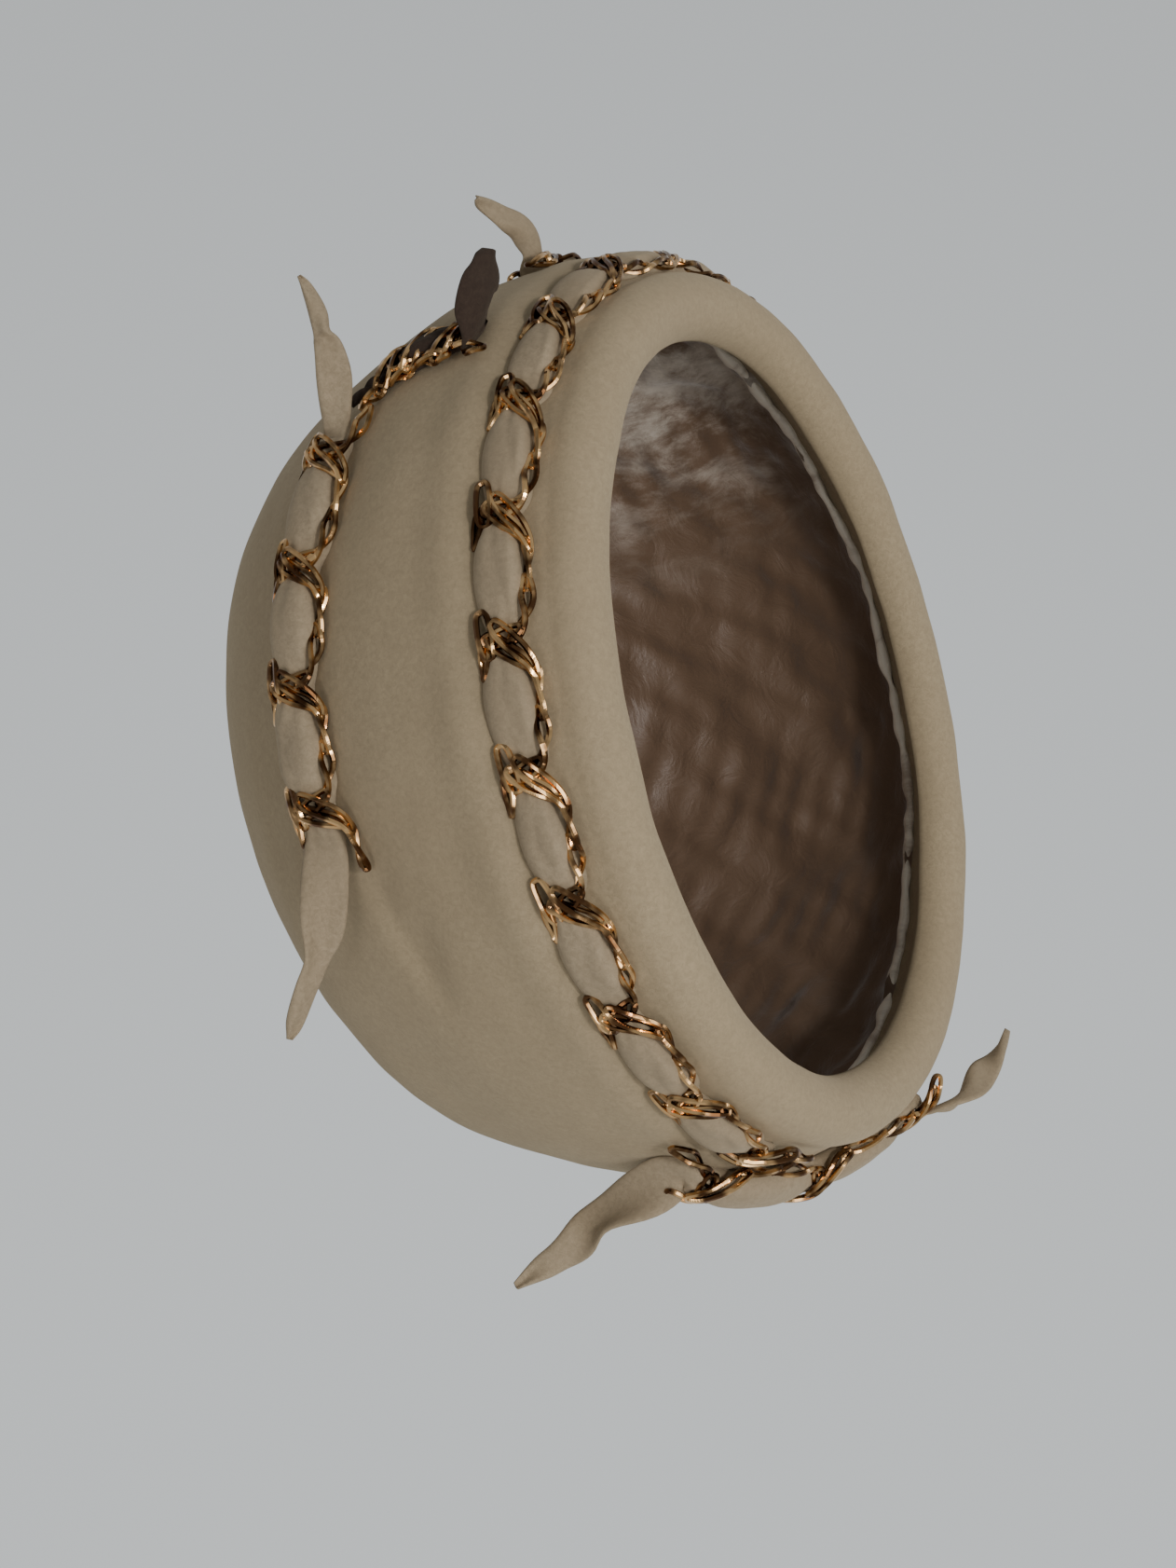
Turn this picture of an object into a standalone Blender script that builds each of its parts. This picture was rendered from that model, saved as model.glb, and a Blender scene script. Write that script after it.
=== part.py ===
"""Felt turban with chain trims, built from its real pieces.

The hat stands as it is worn: +Z runs up through the crown, -Y is its front and -X is the
wearer's right. The origin is the middle of the head opening, in the plane of the rim.
A place on the crown is given by its turn, in degrees about +Z from +X (90 is the nape, 180 the
right side, 270 the front), and by its rise above the plane of the rim.
"""
import math
from typing import NamedTuple

import bmesh
import bpy
import numpy as np

# Driving dimensions, in metres
CROWN_LENGTH = 0.248
CROWN_WIDTH = 0.210
CROWN_HEIGHT = 0.1625
FELT_WALL = 0.0025
RIM_ROLL = 0.009
FACING_SIDE_HEIGHT = 0.0155
FACING_END_HEIGHT = 0.0225
FACING_STANDOFF = 0.0105
FACING_SEAM_INSET = 0.004
LINING_WALL = 0.001
LINING_CLEARANCE = 0.0020
LINING_SLACK = 0.0025
LINING_SLACK_RISE = 0.011
LINING_FOLD_DEPTH = 0.003
PIPING_RADIUS = 0.0011
GAP = 0.0003
SEAT_CLEARANCE = 0.0005

RIM_TRIM_RISE = 0.019
GROOVE_DEPTH = 0.002
GROOVE_SPREAD = 0.008
RIDGE_LIFT = 0.0018
RIDGE_RISE = 0.0125
RIDGE_SPREAD = 0.0075

STRIP_WIDTH = 0.0160
STRIP_HEIGHT = 0.0050
NECK_WIDTH = 0.0090
NECK_HEIGHT = 0.0016
TAIL_THICKNESS = 0.0020
HEADING_REACH = 0.0037
CHAIN_WIDTH = 0.0040
CHAIN_CLEARANCE = 0.0023

RIGHT_FRONT_TAIL = 0.043
RIGHT_BACK_TAIL = 0.055
LEFT_FRONT_TAIL = 0.036
LEFT_BACK_TAIL = 0.045
FRONT_LOW_TAIL = 0.025
FRONT_HIGH_TAIL = 0.018
NAPE_RIGHT_TAIL = 0.073
NAPE_LEFT_TAIL = 0.050

# Knots of each trim
RIM_KNOTS = 21
SIDE_KNOTS = 4
FRONT_KNOTS = 2
NAPE_KNOTS = 3

# How finely the pieces are divided
CROWN_SEGMENTS = 56
LINING_SEGMENTS = 48
PIPING_SEGMENTS = 80
PIPING_SIDES = 5
ROLL_STEPS = 6
DENSE = 400
SHARP_ANGLE = 50.0

# How far apart two points lie when a direction is taken from them, in degrees and in table steps
TURN_NUDGE = 0.5
STEP_NUDGE = 0.02

# How fast the felt's relief sets in, away from the top of the crown
RELIEF_ONSET = 3.0


class Section(NamedTuple):
    """One level of the crown: rise as a share of its height over the roll, the others of its sizes."""

    rise: float
    length: float
    width: float
    shift: float


CROWN_SECTIONS = (
    Section(rise=0.000, length=0.939, width=0.932, shift=-0.002),
    Section(rise=0.098, length=0.983, width=0.980, shift=-0.010),
    Section(rise=0.267, length=1.000, width=1.000, shift=-0.016),
    Section(rise=0.462, length=0.955, width=0.960, shift=-0.016),
    Section(rise=0.658, length=0.872, width=0.865, shift=-0.018),
    Section(rise=0.788, length=0.762, width=0.730, shift=-0.030),
    Section(rise=0.886, length=0.615, width=0.570, shift=-0.048),
    Section(rise=0.950, length=0.440, width=0.400, shift=-0.060),
    Section(rise=0.988, length=0.225, width=0.205, shift=-0.068),
    Section(rise=1.000, length=0.000, width=0.000, shift=-0.072),
)


# Table steps of each skin: dense where the trim sits in its groove, wider up the dome
CROWN_STEPS = (0.0, 0.35, 0.65, 0.9, 1.15, 1.4, 1.7, 2.1, 2.6, 3.1, 3.7, 4.3, 4.9, 5.5, 6.1, 6.8, 7.5, 8.2)
INNER_STEPS = (8.3, 7.7, 7.0, 6.3, 5.6, 4.9, 4.2, 3.5, 2.8, 2.2)
LINING_STEPS = (2.9, 3.6, 4.3, 5.0, 5.8, 6.6, 7.4, 8.2)


class Dent(NamedTuple):
    """A soft dent: its middle, its depth as a share of the wall, and how far it spreads."""

    turn: float
    rise: float
    depth: float
    turn_spread: float
    rise_spread: float


CROWN_DENTS = (
    Dent(turn=166.0, rise=0.43, depth=0.60, turn_spread=4.0, rise_spread=0.06),
    Dent(turn=157.0, rise=0.39, depth=0.70, turn_spread=6.0, rise_spread=0.04),
    Dent(turn=212.0, rise=0.30, depth=-0.35, turn_spread=12.0, rise_spread=0.07),
    Dent(turn=135.0, rise=0.55, depth=0.50, turn_spread=14.0, rise_spread=0.10),
    Dent(turn=20.0, rise=0.42, depth=0.60, turn_spread=8.0, rise_spread=0.06),
)


class TrimLevel(NamedTuple):
    """At one turn, the rim trim's rise and the ridge's lift, as shares of those at the sides."""

    turn: float
    rise: float
    ridge: float


RIM_TRIM_LEVELS = (
    TrimLevel(turn=0.0, rise=1.00, ridge=1.0),
    TrimLevel(turn=90.0, rise=0.86, ridge=0.2),
    TrimLevel(turn=180.0, rise=1.00, ridge=1.0),
    TrimLevel(turn=270.0, rise=0.80, ridge=0.8),
    TrimLevel(turn=360.0, rise=1.00, ridge=1.0),
)


class Fold(NamedTuple):
    """A pleat of the lining: its middle, its depth as a share of the fold depth, its spread."""

    turn: float
    depth: float
    spread: float


LINING_FOLDS = (
    Fold(turn=28.0, depth=0.8, spread=6.0),
    Fold(turn=52.0, depth=1.0, spread=7.0),
    Fold(turn=84.0, depth=0.6, spread=8.0),
    Fold(turn=122.0, depth=0.8, spread=8.0),
    Fold(turn=160.0, depth=0.6, spread=9.0),
    Fold(turn=205.0, depth=0.7, spread=8.0),
    Fold(turn=248.0, depth=0.6, spread=8.0),
    Fold(turn=284.0, depth=0.7, spread=7.0),
    Fold(turn=318.0, depth=0.9, spread=7.0),
    Fold(turn=350.0, depth=0.5, spread=8.0),
)


class Station(NamedTuple):
    """A place that a trim passes through: its turn, and its rise as a share of the crown's height."""

    turn: float
    rise: float


RIGHT_TRIM_ROUTE = (
    Station(turn=220.0, rise=0.430),
    Station(turn=209.0, rise=0.455),
    Station(turn=196.5, rise=0.478),
    Station(turn=184.5, rise=0.490),
    Station(turn=174.0, rise=0.480),
)
LEFT_TRIM_ROUTE = (
    Station(turn=314.0, rise=0.330),
    Station(turn=300.0, rise=0.305),
    Station(turn=285.0, rise=0.295),
    Station(turn=263.0, rise=0.290),
)
FRONT_TRIM_ROUTE = (
    Station(turn=229.0, rise=0.375),
    Station(turn=230.5, rise=0.320),
    Station(turn=231.0, rise=0.260),
    Station(turn=230.5, rise=0.205),
)
NAPE_TRIM_ROUTE = (
    Station(turn=71.0, rise=0.058),
    Station(turn=83.0, rise=0.095),
    Station(turn=95.0, rise=0.145),
    Station(turn=106.0, rise=0.185),
    Station(turn=116.0, rise=0.205),
)
RIM_TRIM_START = 426.0
RIM_TRIM_END = 112.5


class PuffPoint(NamedTuple):
    """One section between two knots: its place, and how far it has swollen in width and height."""

    share: float
    width: float
    height: float


PUFF_SHAPE = (
    PuffPoint(share=0.00, width=0.00, height=0.00),
    PuffPoint(share=0.20, width=0.20, height=0.05),
    PuffPoint(share=0.38, width=0.88, height=0.85),
    PuffPoint(share=0.60, width=1.00, height=1.00),
    PuffPoint(share=0.80, width=0.20, height=0.05),
)


class OutlinePoint(NamedTuple):
    """One corner of a strip's cross-section, in shares of its half width and of its height."""

    aside: float
    height: float


SECTION_OUTLINE = (
    OutlinePoint(aside=-0.90, height=0.00),
    OutlinePoint(aside=0.00, height=0.00),
    OutlinePoint(aside=0.90, height=0.00),
    OutlinePoint(aside=1.00, height=0.35),
    OutlinePoint(aside=0.55, height=0.92),
    OutlinePoint(aside=0.00, height=1.00),
    OutlinePoint(aside=-0.55, height=0.92),
    OutlinePoint(aside=-1.00, height=0.35),
)


class ChainPoint(NamedTuple):
    """One point of a chain between two knots: its place, how far beside the strip, and over its neck."""

    share: float
    beside: float
    over: float


CHAIN_SHAPE = (
    ChainPoint(share=0.00, beside=-0.25, over=1.0),
    ChainPoint(share=0.31, beside=1.00, over=0.2),
    ChainPoint(share=0.71, beside=1.00, over=0.2),
)


class TailPoint(NamedTuple):
    """One section of a tail, in shares of its length: how far ahead of the strip's end it lies, how
    far to the rim's side, how far out from the crown, its half width, and its twist in degrees."""

    ahead: float
    side: float
    out: float
    half: float
    twist: float


RIGHT_FRONT_SHAPE = (
    TailPoint(ahead=0.06, side=0.03, out=0.06, half=0.090, twist=0),
    TailPoint(ahead=0.17, side=0.02, out=0.20, half=0.085, twist=-20),
    TailPoint(ahead=0.34, side=-0.05, out=0.35, half=0.070, twist=-60),
    TailPoint(ahead=0.49, side=0.02, out=0.52, half=0.080, twist=-20),
    TailPoint(ahead=0.66, side=0.01, out=0.70, half=0.015, twist=0),
)
RIGHT_BACK_SHAPE = (
    TailPoint(ahead=0.07, side=0.03, out=0.04, half=0.100, twist=0),
    TailPoint(ahead=0.16, side=-0.03, out=0.11, half=0.105, twist=-10),
    TailPoint(ahead=0.28, side=-0.15, out=0.20, half=0.085, twist=-50),
    TailPoint(ahead=0.41, side=-0.23, out=0.26, half=0.080, twist=-80),
    TailPoint(ahead=0.54, side=-0.30, out=0.34, half=0.065, twist=-80),
    TailPoint(ahead=0.66, side=-0.37, out=0.40, half=0.015, twist=-90),
)
LEFT_FRONT_SHAPE = (
    TailPoint(ahead=0.10, side=-0.01, out=0.08, half=0.150, twist=0),
    TailPoint(ahead=0.28, side=-0.03, out=0.22, half=0.150, twist=10),
    TailPoint(ahead=0.46, side=-0.08, out=0.34, half=0.120, twist=40),
    TailPoint(ahead=0.62, side=-0.12, out=0.46, half=0.080, twist=20),
    TailPoint(ahead=0.82, side=-0.18, out=0.60, half=0.015, twist=0),
)
FRONT_LOW_SHAPE = (
    TailPoint(ahead=0.14, side=0.06, out=0.10, half=0.260, twist=0),
    TailPoint(ahead=0.22, side=-0.04, out=0.24, half=0.320, twist=0),
    TailPoint(ahead=0.32, side=-0.18, out=0.40, half=0.250, twist=0),
    TailPoint(ahead=0.35, side=-0.34, out=0.50, half=0.150, twist=0),
    TailPoint(ahead=0.36, side=-0.50, out=0.60, half=0.040, twist=0),
)
FRONT_HIGH_SHAPE = (
    TailPoint(ahead=0.15, side=0.00, out=0.06, half=0.200, twist=0),
    TailPoint(ahead=0.50, side=0.10, out=0.14, half=0.140, twist=0),
    TailPoint(ahead=0.80, side=0.16, out=0.16, half=0.090, twist=0),
    TailPoint(ahead=1.00, side=0.20, out=0.16, half=0.030, twist=0),
)
NAPE_RIGHT_SHAPE = (
    TailPoint(ahead=0.04, side=-0.10, out=0.04, half=0.080, twist=0),
    TailPoint(ahead=0.05, side=-0.24, out=0.10, half=0.090, twist=-25),
    TailPoint(ahead=0.08, side=-0.35, out=0.19, half=0.085, twist=-60),
    TailPoint(ahead=0.13, side=-0.45, out=0.27, half=0.065, twist=-30),
    TailPoint(ahead=0.19, side=-0.53, out=0.35, half=0.050, twist=-20),
    TailPoint(ahead=0.25, side=-0.60, out=0.41, half=0.012, twist=-10),
)
NAPE_LEFT_SHAPE = (
    TailPoint(ahead=0.08, side=0.06, out=0.10, half=0.080, twist=0),
    TailPoint(ahead=0.16, side=0.12, out=0.16, half=0.085, twist=-30),
    TailPoint(ahead=0.30, side=0.18, out=0.18, half=0.085, twist=-60),
    TailPoint(ahead=0.46, side=0.23, out=0.17, half=0.080, twist=-40),
    TailPoint(ahead=0.60, side=0.27, out=0.14, half=0.055, twist=-20),
    TailPoint(ahead=0.72, side=0.33, out=0.10, half=0.015, twist=0),
)


class Colour(NamedTuple):
    """A surface: its linear red, green and blue, its roughness and how metallic it is."""

    red: float
    green: float
    blue: float
    roughness: float
    metallic: float


BEIGE_FELT = Colour(red=0.36, green=0.27, blue=0.18, roughness=0.95, metallic=0.0)
TAUPE_FELT = Colour(red=0.085, green=0.052, blue=0.042, roughness=0.95, metallic=0.0)
SATIN = Colour(red=0.19, green=0.15, blue=0.125, roughness=0.45, metallic=0.0)
PALE_SATIN = Colour(red=0.42, green=0.35, blue=0.28, roughness=0.50, metallic=0.0)
GOLD = Colour(red=0.72, green=0.43, blue=0.20, roughness=0.22, metallic=1.0)


# Smooth tables
def eased_rows(rows, last=None):
    """Return a function that reads a table smoothly, by a step that runs from 0 to its last row."""
    table = np.array(rows, dtype=float)
    before = 2 * table[0] - table[1]
    after = 2 * table[-1] - table[-2] if last is None else np.array(last, dtype=float)
    padded = np.vstack([before, table, after])

    def read(step):
        row = min(int(step), len(table) - 2)
        part = step - row
        a, b, c, d = padded[row:row + 4]
        return 0.5 * (2 * b + (c - a) * part + (2 * a - 5 * b + 4 * c - d) * part ** 2
                      + (3 * b - a - 3 * c + d) * part ** 3)

    return read


def swell(distance, spread):
    """Return a bump that is 1 in its middle and dies away over its spread."""
    return math.exp(-(distance / spread) ** 2)


def turn_between(turn, middle):
    """Return the signed angle from one turn to another, in degrees."""
    return (turn - middle + 180.0) % 360.0 - 180.0


# The crown's form
APEX_MIRROR = CROWN_SECTIONS[-2]._replace(
    length=-CROWN_SECTIONS[-2].length, width=-CROWN_SECTIONS[-2].width, shift=CROWN_SECTIONS[-2].shift)
read_section = eased_rows(CROWN_SECTIONS, last=APEX_MIRROR)
LAST_SECTION = len(CROWN_SECTIONS) - 1
STEP_TABLE = np.linspace(0.0, LAST_SECTION, DENSE)
RISE_TABLE = np.maximum.accumulate([
    RIM_ROLL + read_section(step)[0] * (CROWN_HEIGHT - RIM_ROLL) for step in STEP_TABLE])


def section_step(rise):
    """Return the table step whose level lies at a rise; below the roll's widest line it is the angle
    under that line, as a negative number of radians."""
    if rise < RIM_ROLL:
        return (rise - RIM_ROLL) / RIM_ROLL
    return float(np.interp(rise, RISE_TABLE, STEP_TABLE))


def trim_level(turn):
    """Return the rim trim's rise and the ridge's lift at a turn, as shares."""
    turns = [level.turn for level in RIM_TRIM_LEVELS]
    spot = float(np.interp(turn % 360.0, turns, range(len(turns))))
    low = min(int(spot), len(turns) - 2)
    blend = (1.0 - math.cos(math.pi * (spot - low))) / 2.0
    under, over = RIM_TRIM_LEVELS[low], RIM_TRIM_LEVELS[low + 1]
    return under.rise + (over.rise - under.rise) * blend, under.ridge + (over.ridge - under.ridge) * blend


def rim_trim_rise(turn):
    """Return the height of the rim trim's middle line."""
    return RIM_TRIM_RISE * trim_level(turn)[0]


def relief(turn, rise):
    """Return how far the felt stands out from the plain form: its groove, ridge and dents."""
    trim_share, ridge_share = trim_level(turn)
    above = rise - RIM_TRIM_RISE * trim_share
    out = -GROOVE_DEPTH * swell(above, GROOVE_SPREAD)
    out += RIDGE_LIFT * ridge_share * swell(above - RIDGE_RISE, RIDGE_SPREAD)
    for dent in CROWN_DENTS:
        sideways = swell(turn_between(turn, dent.turn), dent.turn_spread)
        upright = swell(rise / CROWN_HEIGHT - dent.rise, dent.rise_spread)
        out -= FELT_WALL * dent.depth * sideways * upright
    return out


def form_point(turn, step):
    """Return a point of the crown's skin; steps under zero run round the rim's roll."""
    level, length, width, shift = read_section(max(step, 0.0))
    rise = RIM_ROLL + level * (CROWN_HEIGHT - RIM_ROLL)
    out = relief(turn, rise) * min(1.0, abs(width) * RELIEF_ONSET)
    if step < 0.0:
        out -= RIM_ROLL * (1.0 - math.cos(step))
        rise = RIM_ROLL * (1.0 + math.sin(step))
    angle = math.radians(turn)
    return np.array([
        (CROWN_WIDTH / 2 * width + out) * math.cos(angle),
        CROWN_LENGTH * shift + (CROWN_LENGTH / 2 * length + out) * math.sin(angle),
        rise])


class Seat(NamedTuple):
    """A place on the crown with its directions: up the crown, round it, and straight out of it."""

    point: np.ndarray
    upward: np.ndarray
    around: np.ndarray
    out: np.ndarray


def unit(vector):
    """Return a vector at length one."""
    return vector / np.linalg.norm(vector)


def seat_at(turn, step):
    """Return the seat at a turn and a table step."""
    point = form_point(turn, step)
    around = unit(form_point(turn + TURN_NUDGE, step) - form_point(turn - TURN_NUDGE, step))
    upper = form_point(turn, min(step + STEP_NUDGE, LAST_SECTION))
    upward = unit(upper - form_point(turn, step - STEP_NUDGE))
    return Seat(point, upward, around, unit(np.cross(around, upward)))


# Meshes
def plain_material(name, colour):
    """Return a plain material of a colour."""
    material = bpy.data.materials.new(name)
    material.use_nodes = True
    shader = material.node_tree.nodes["Principled BSDF"]
    shader.inputs["Base Color"].default_value = (colour.red, colour.green, colour.blue, 1.0)
    shader.inputs["Roughness"].default_value = colour.roughness
    shader.inputs["Metallic"].default_value = colour.metallic
    material.diffuse_color = (colour.red, colour.green, colour.blue, 1.0)
    return material


def add_mesh(name, rings, colour, closed_round=True, loop=False, low_pole=None, high_pole=None):
    """Add one closed body skinned over rings of equal count, with poles or flat caps at its ends."""
    mesh = bpy.data.meshes.new(name)
    body = bmesh.new()
    rows = [[body.verts.new(tuple(point)) for point in ring] for ring in rings]
    count = len(rows[0])
    pairs = list(zip(rows, rows[1:] + rows[:1] if loop else rows[1:]))
    for low, high in pairs:
        for index in range(count if closed_round else count - 1):
            after = (index + 1) % count
            body.faces.new((low[index], low[after], high[after], high[index]))
    if not loop:
        for row, pole, flip in ((rows[0], low_pole, True), (rows[-1], high_pole, False)):
            if pole is None:
                body.faces.new(row[::-1] if flip else row)
                continue
            tip = body.verts.new(tuple(pole))
            for index in range(count):
                after = (index + 1) % count
                edge = (row[after], row[index]) if flip else (row[index], row[after])
                body.faces.new((*edge, tip))
    bmesh.ops.triangulate(body, faces=body.faces[:])
    if body.calc_volume(signed=True) < 0.0:
        bmesh.ops.reverse_faces(body, faces=body.faces[:])
    body.to_mesh(mesh)
    body.free()
    mesh.shade_smooth()
    mesh.set_sharp_from_angle(angle=math.radians(SHARP_ANGLE))
    thing = bpy.data.objects.new(name, mesh)
    mesh.materials.append(plain_material(name, colour))
    bpy.context.scene.collection.objects.link(thing)
    return thing


def turns_of(count):
    """Return evenly spaced turns, once round."""
    return [360.0 * index / count for index in range(count)]


def facing_height(turn):
    """Return the height of the facing's inner edge: low at the sides, high at the front and the nape."""
    ends = math.sin(math.radians(turn)) ** 2
    return FACING_SIDE_HEIGHT + (FACING_END_HEIGHT - FACING_SIDE_HEIGHT) * ends


def inset_point(turn, rise, inset):
    """Return a point inside the crown at a rise, by an inset from its plain outer form."""
    level, length, width, shift = read_section(section_step(rise))
    angle = math.radians(turn)
    return np.array([
        (CROWN_WIDTH / 2 * width - inset) * math.cos(angle),
        CROWN_LENGTH * shift + (CROWN_LENGTH / 2 * length - inset) * math.sin(angle),
        rise])


def build_crown():
    """The felt dome with its rolled, padded rim and the facing turned up inside."""
    turns = turns_of(CROWN_SEGMENTS)
    rings = []
    for step in INNER_STEPS:
        ring = []
        for turn in turns:
            seat = seat_at(turn, step)
            ring.append(seat.point - seat.out * FELT_WALL)
        rings.append(ring)
    padding = RIM_ROLL - FELT_WALL
    rings.append([inset_point(turn, facing_height(turn) + padding, FACING_SEAM_INSET) for turn in turns])
    rings.append([inset_point(turn, facing_height(turn), FACING_STANDOFF - PIPING_RADIUS * 2)
                  for turn in turns])
    rings.append([inset_point(turn, facing_height(turn), FACING_STANDOFF + PIPING_RADIUS) for turn in turns])
    for part in range(ROLL_STEPS + 1):
        sweep = math.pi * part / ROLL_STEPS
        inset = RIM_ROLL * (1 + math.cos(sweep))
        drop = RIM_ROLL * (1 - math.sin(sweep))
        if part < ROLL_STEPS:
            ring = []
            for turn in turns:
                point = inset_point(turn, RIM_ROLL, inset)
                point[2] = drop
                ring.append(point)
            rings.append(ring)
    for step in CROWN_STEPS:
        rings.append([form_point(turn, step) for turn in turns])
    apex = form_point(0.0, LAST_SECTION)
    inner_apex = apex - np.array([0.0, 0.0, FELT_WALL])
    return add_mesh("crown", rings, BEIGE_FELT, low_pole=inner_apex, high_pole=apex)


# Lining
def fold_depth(turn):
    """Return how deeply the lining's folds stand in at a turn, as a share of the fold depth."""
    return sum(fold.depth * swell(turn_between(turn, fold.turn), fold.spread) for fold in LINING_FOLDS)


def lining_point(turn, step, depth):
    """Return a point of the lining, by its depth inside the crown's wall."""
    seat = seat_at(turn, step)
    fade = max(0.0, 1.0 - step / LAST_SECTION)
    inset = FELT_WALL + LINING_CLEARANCE + depth + LINING_FOLD_DEPTH * fold_depth(turn) * fade
    return seat.point - seat.out * inset


def lining_skirt(turn, above, inset):
    """Return a point of the lining's loose lower edge, above its hem just over the piping."""
    hem = facing_height(turn) + 2 * PIPING_RADIUS + 2 * GAP + SEAT_CLEARANCE
    fold = LINING_FOLD_DEPTH * fold_depth(turn) * min(1.0, above / LINING_SLACK_RISE)
    return inset_point(turn, hem + above, inset + fold)


def build_lining():
    """The loose satin lining: a thin dome with pleats, open at the head."""
    turns = turns_of(LINING_SEGMENTS)
    wall_inset = FELT_WALL + LINING_CLEARANCE
    skirt = (
        (0.0, FACING_STANDOFF - LINING_WALL / 2),
        (LINING_SLACK_RISE, wall_inset + LINING_SLACK),
        (2 * LINING_SLACK_RISE, wall_inset + LINING_SLACK / 2),
    )
    rings = []
    for step in reversed(LINING_STEPS):
        rings.append([lining_point(turn, step, LINING_WALL) for turn in turns])
    for above, inset in reversed(skirt):
        rings.append([lining_skirt(turn, above, inset + LINING_WALL) for turn in turns])
    for above, inset in skirt:
        rings.append([lining_skirt(turn, above, inset) for turn in turns])
    for step in LINING_STEPS:
        rings.append([lining_point(turn, step, 0.0) for turn in turns])
    apex = form_point(0.0, LAST_SECTION)
    top = apex - np.array([0.0, 0.0, FELT_WALL + LINING_CLEARANCE])
    under = top - np.array([0.0, 0.0, LINING_WALL])
    return add_mesh("lining", rings, SATIN, low_pole=under, high_pole=top)


def build_piping():
    """The pale satin fold between the facing and the lining."""
    rings = []
    for turn in turns_of(PIPING_SEGMENTS):
        middle = inset_point(turn, facing_height(turn) + PIPING_RADIUS + GAP, FACING_STANDOFF)
        inward = -np.array([math.cos(math.radians(turn)), math.sin(math.radians(turn)), 0.0])
        ring = []
        for side in range(PIPING_SIDES):
            angle = 2 * math.pi * (side + 0.5) / PIPING_SIDES
            ring.append(middle + PIPING_RADIUS * (inward * math.cos(angle) + np.array([0, 0, math.sin(angle)])))
        rings.append(ring)
    return add_mesh("lining_edge", rings, PALE_SATIN, loop=True)


# Trims
class Frame(NamedTuple):
    """A place on a trim's middle line: ahead along it, across to the rim's side, out from the crown."""

    point: np.ndarray
    ahead: np.ndarray
    across: np.ndarray
    out: np.ndarray


class Route:
    """A trim's middle line on the crown, measured by its own length."""

    def __init__(self, places):
        """Take the places as turns and rises, in the trim's running order."""
        self.turns = [turn for turn, rise in places]
        self.rises = [rise for turn, rise in places]
        points = [form_point(turn, section_step(rise)) for turn, rise in places]
        strides = [float(np.linalg.norm(b - a)) for a, b in zip(points, points[1:])]
        self.marks = np.concatenate([[0.0], np.cumsum(strides)])
        self.length = float(self.marks[-1])

    def place(self, distance):
        """Return the turn and the rise at a distance along the line."""
        turn = float(np.interp(distance, self.marks, self.turns))
        return turn, float(np.interp(distance, self.marks, self.rises))

    def frame(self, distance, aside=0.0):
        """Return the frame at a distance along the line, and aside from it over the felt."""
        turn, rise = self.place(distance)
        seat = seat_at(turn, section_step(rise))
        fore_turn, fore_rise = self.place(min(distance + HEADING_REACH, self.length))
        back_turn, back_rise = self.place(max(distance - HEADING_REACH, 0.0))
        ahead = form_point(fore_turn, section_step(fore_rise)) - form_point(back_turn, section_step(back_rise))
        ahead = unit(ahead - seat.out * float(ahead @ seat.out))
        across = unit(np.cross(seat.out, ahead))
        if aside:
            step = section_step(rise)
            swing = form_point(turn + TURN_NUDGE, step) - form_point(turn - TURN_NUDGE, step)
            degree = float(np.linalg.norm(swing)) / (2 * TURN_NUDGE)
            climb = seat.upward[2] if rise > RIM_ROLL else 1.0
            turn += aside * float(across @ seat.around) / degree
            rise += aside * float(across @ seat.upward) * climb
            seat = seat_at(turn, section_step(rise))
            across = unit(np.cross(seat.out, ahead))
        return Frame(seat.point, ahead, across, seat.out)


def route_through(stations):
    """Return a route that passes smoothly through stations."""
    read = eased_rows(stations)
    last = len(stations) - 1
    places = []
    for step in np.linspace(0.0, last, DENSE // 4):
        turn, rise = read(step)
        places.append((float(turn), float(rise) * CROWN_HEIGHT))
    return Route(places[::-1] if places[0][0] < places[-1][0] else places)


def rim_route():
    """Return the rim trim's route, from the left of the nape round by the front."""
    turns = np.linspace(RIM_TRIM_START, RIM_TRIM_END, DENSE)
    return Route([(float(turn), rim_trim_rise(turn)) for turn in turns])


def tail_ring(point, across, out, half, height):
    """Return one cross-section of a tail: flat beneath, rounded above."""
    return [point + across * half * x + out * height * y for x, y in SECTION_OUTLINE]


def strip_ring(route, distance, half, height):
    """Return one cross-section of a strip that lies on the crown, rounded above."""
    ring = []
    for x, y in SECTION_OUTLINE:
        frame = route.frame(distance, aside=half * x)
        ring.append(frame.point + frame.out * (SEAT_CLEARANCE + height * y))
    return ring


def knot_marks(length, count):
    """Return the distances of a count of knots, evenly spaced along a trim's length."""
    return [float(mark) for mark in np.linspace(NECK_WIDTH / 2, length - NECK_WIDTH / 2, count)]


def carried_round(vector, before, after):
    """Return a vector turned by the least turn that takes one direction to another."""
    axis = np.cross(before, after)
    swing = np.cross(axis, vector)
    return vector + swing + np.cross(axis, swing) / (1.0 + float(before @ after))


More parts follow.
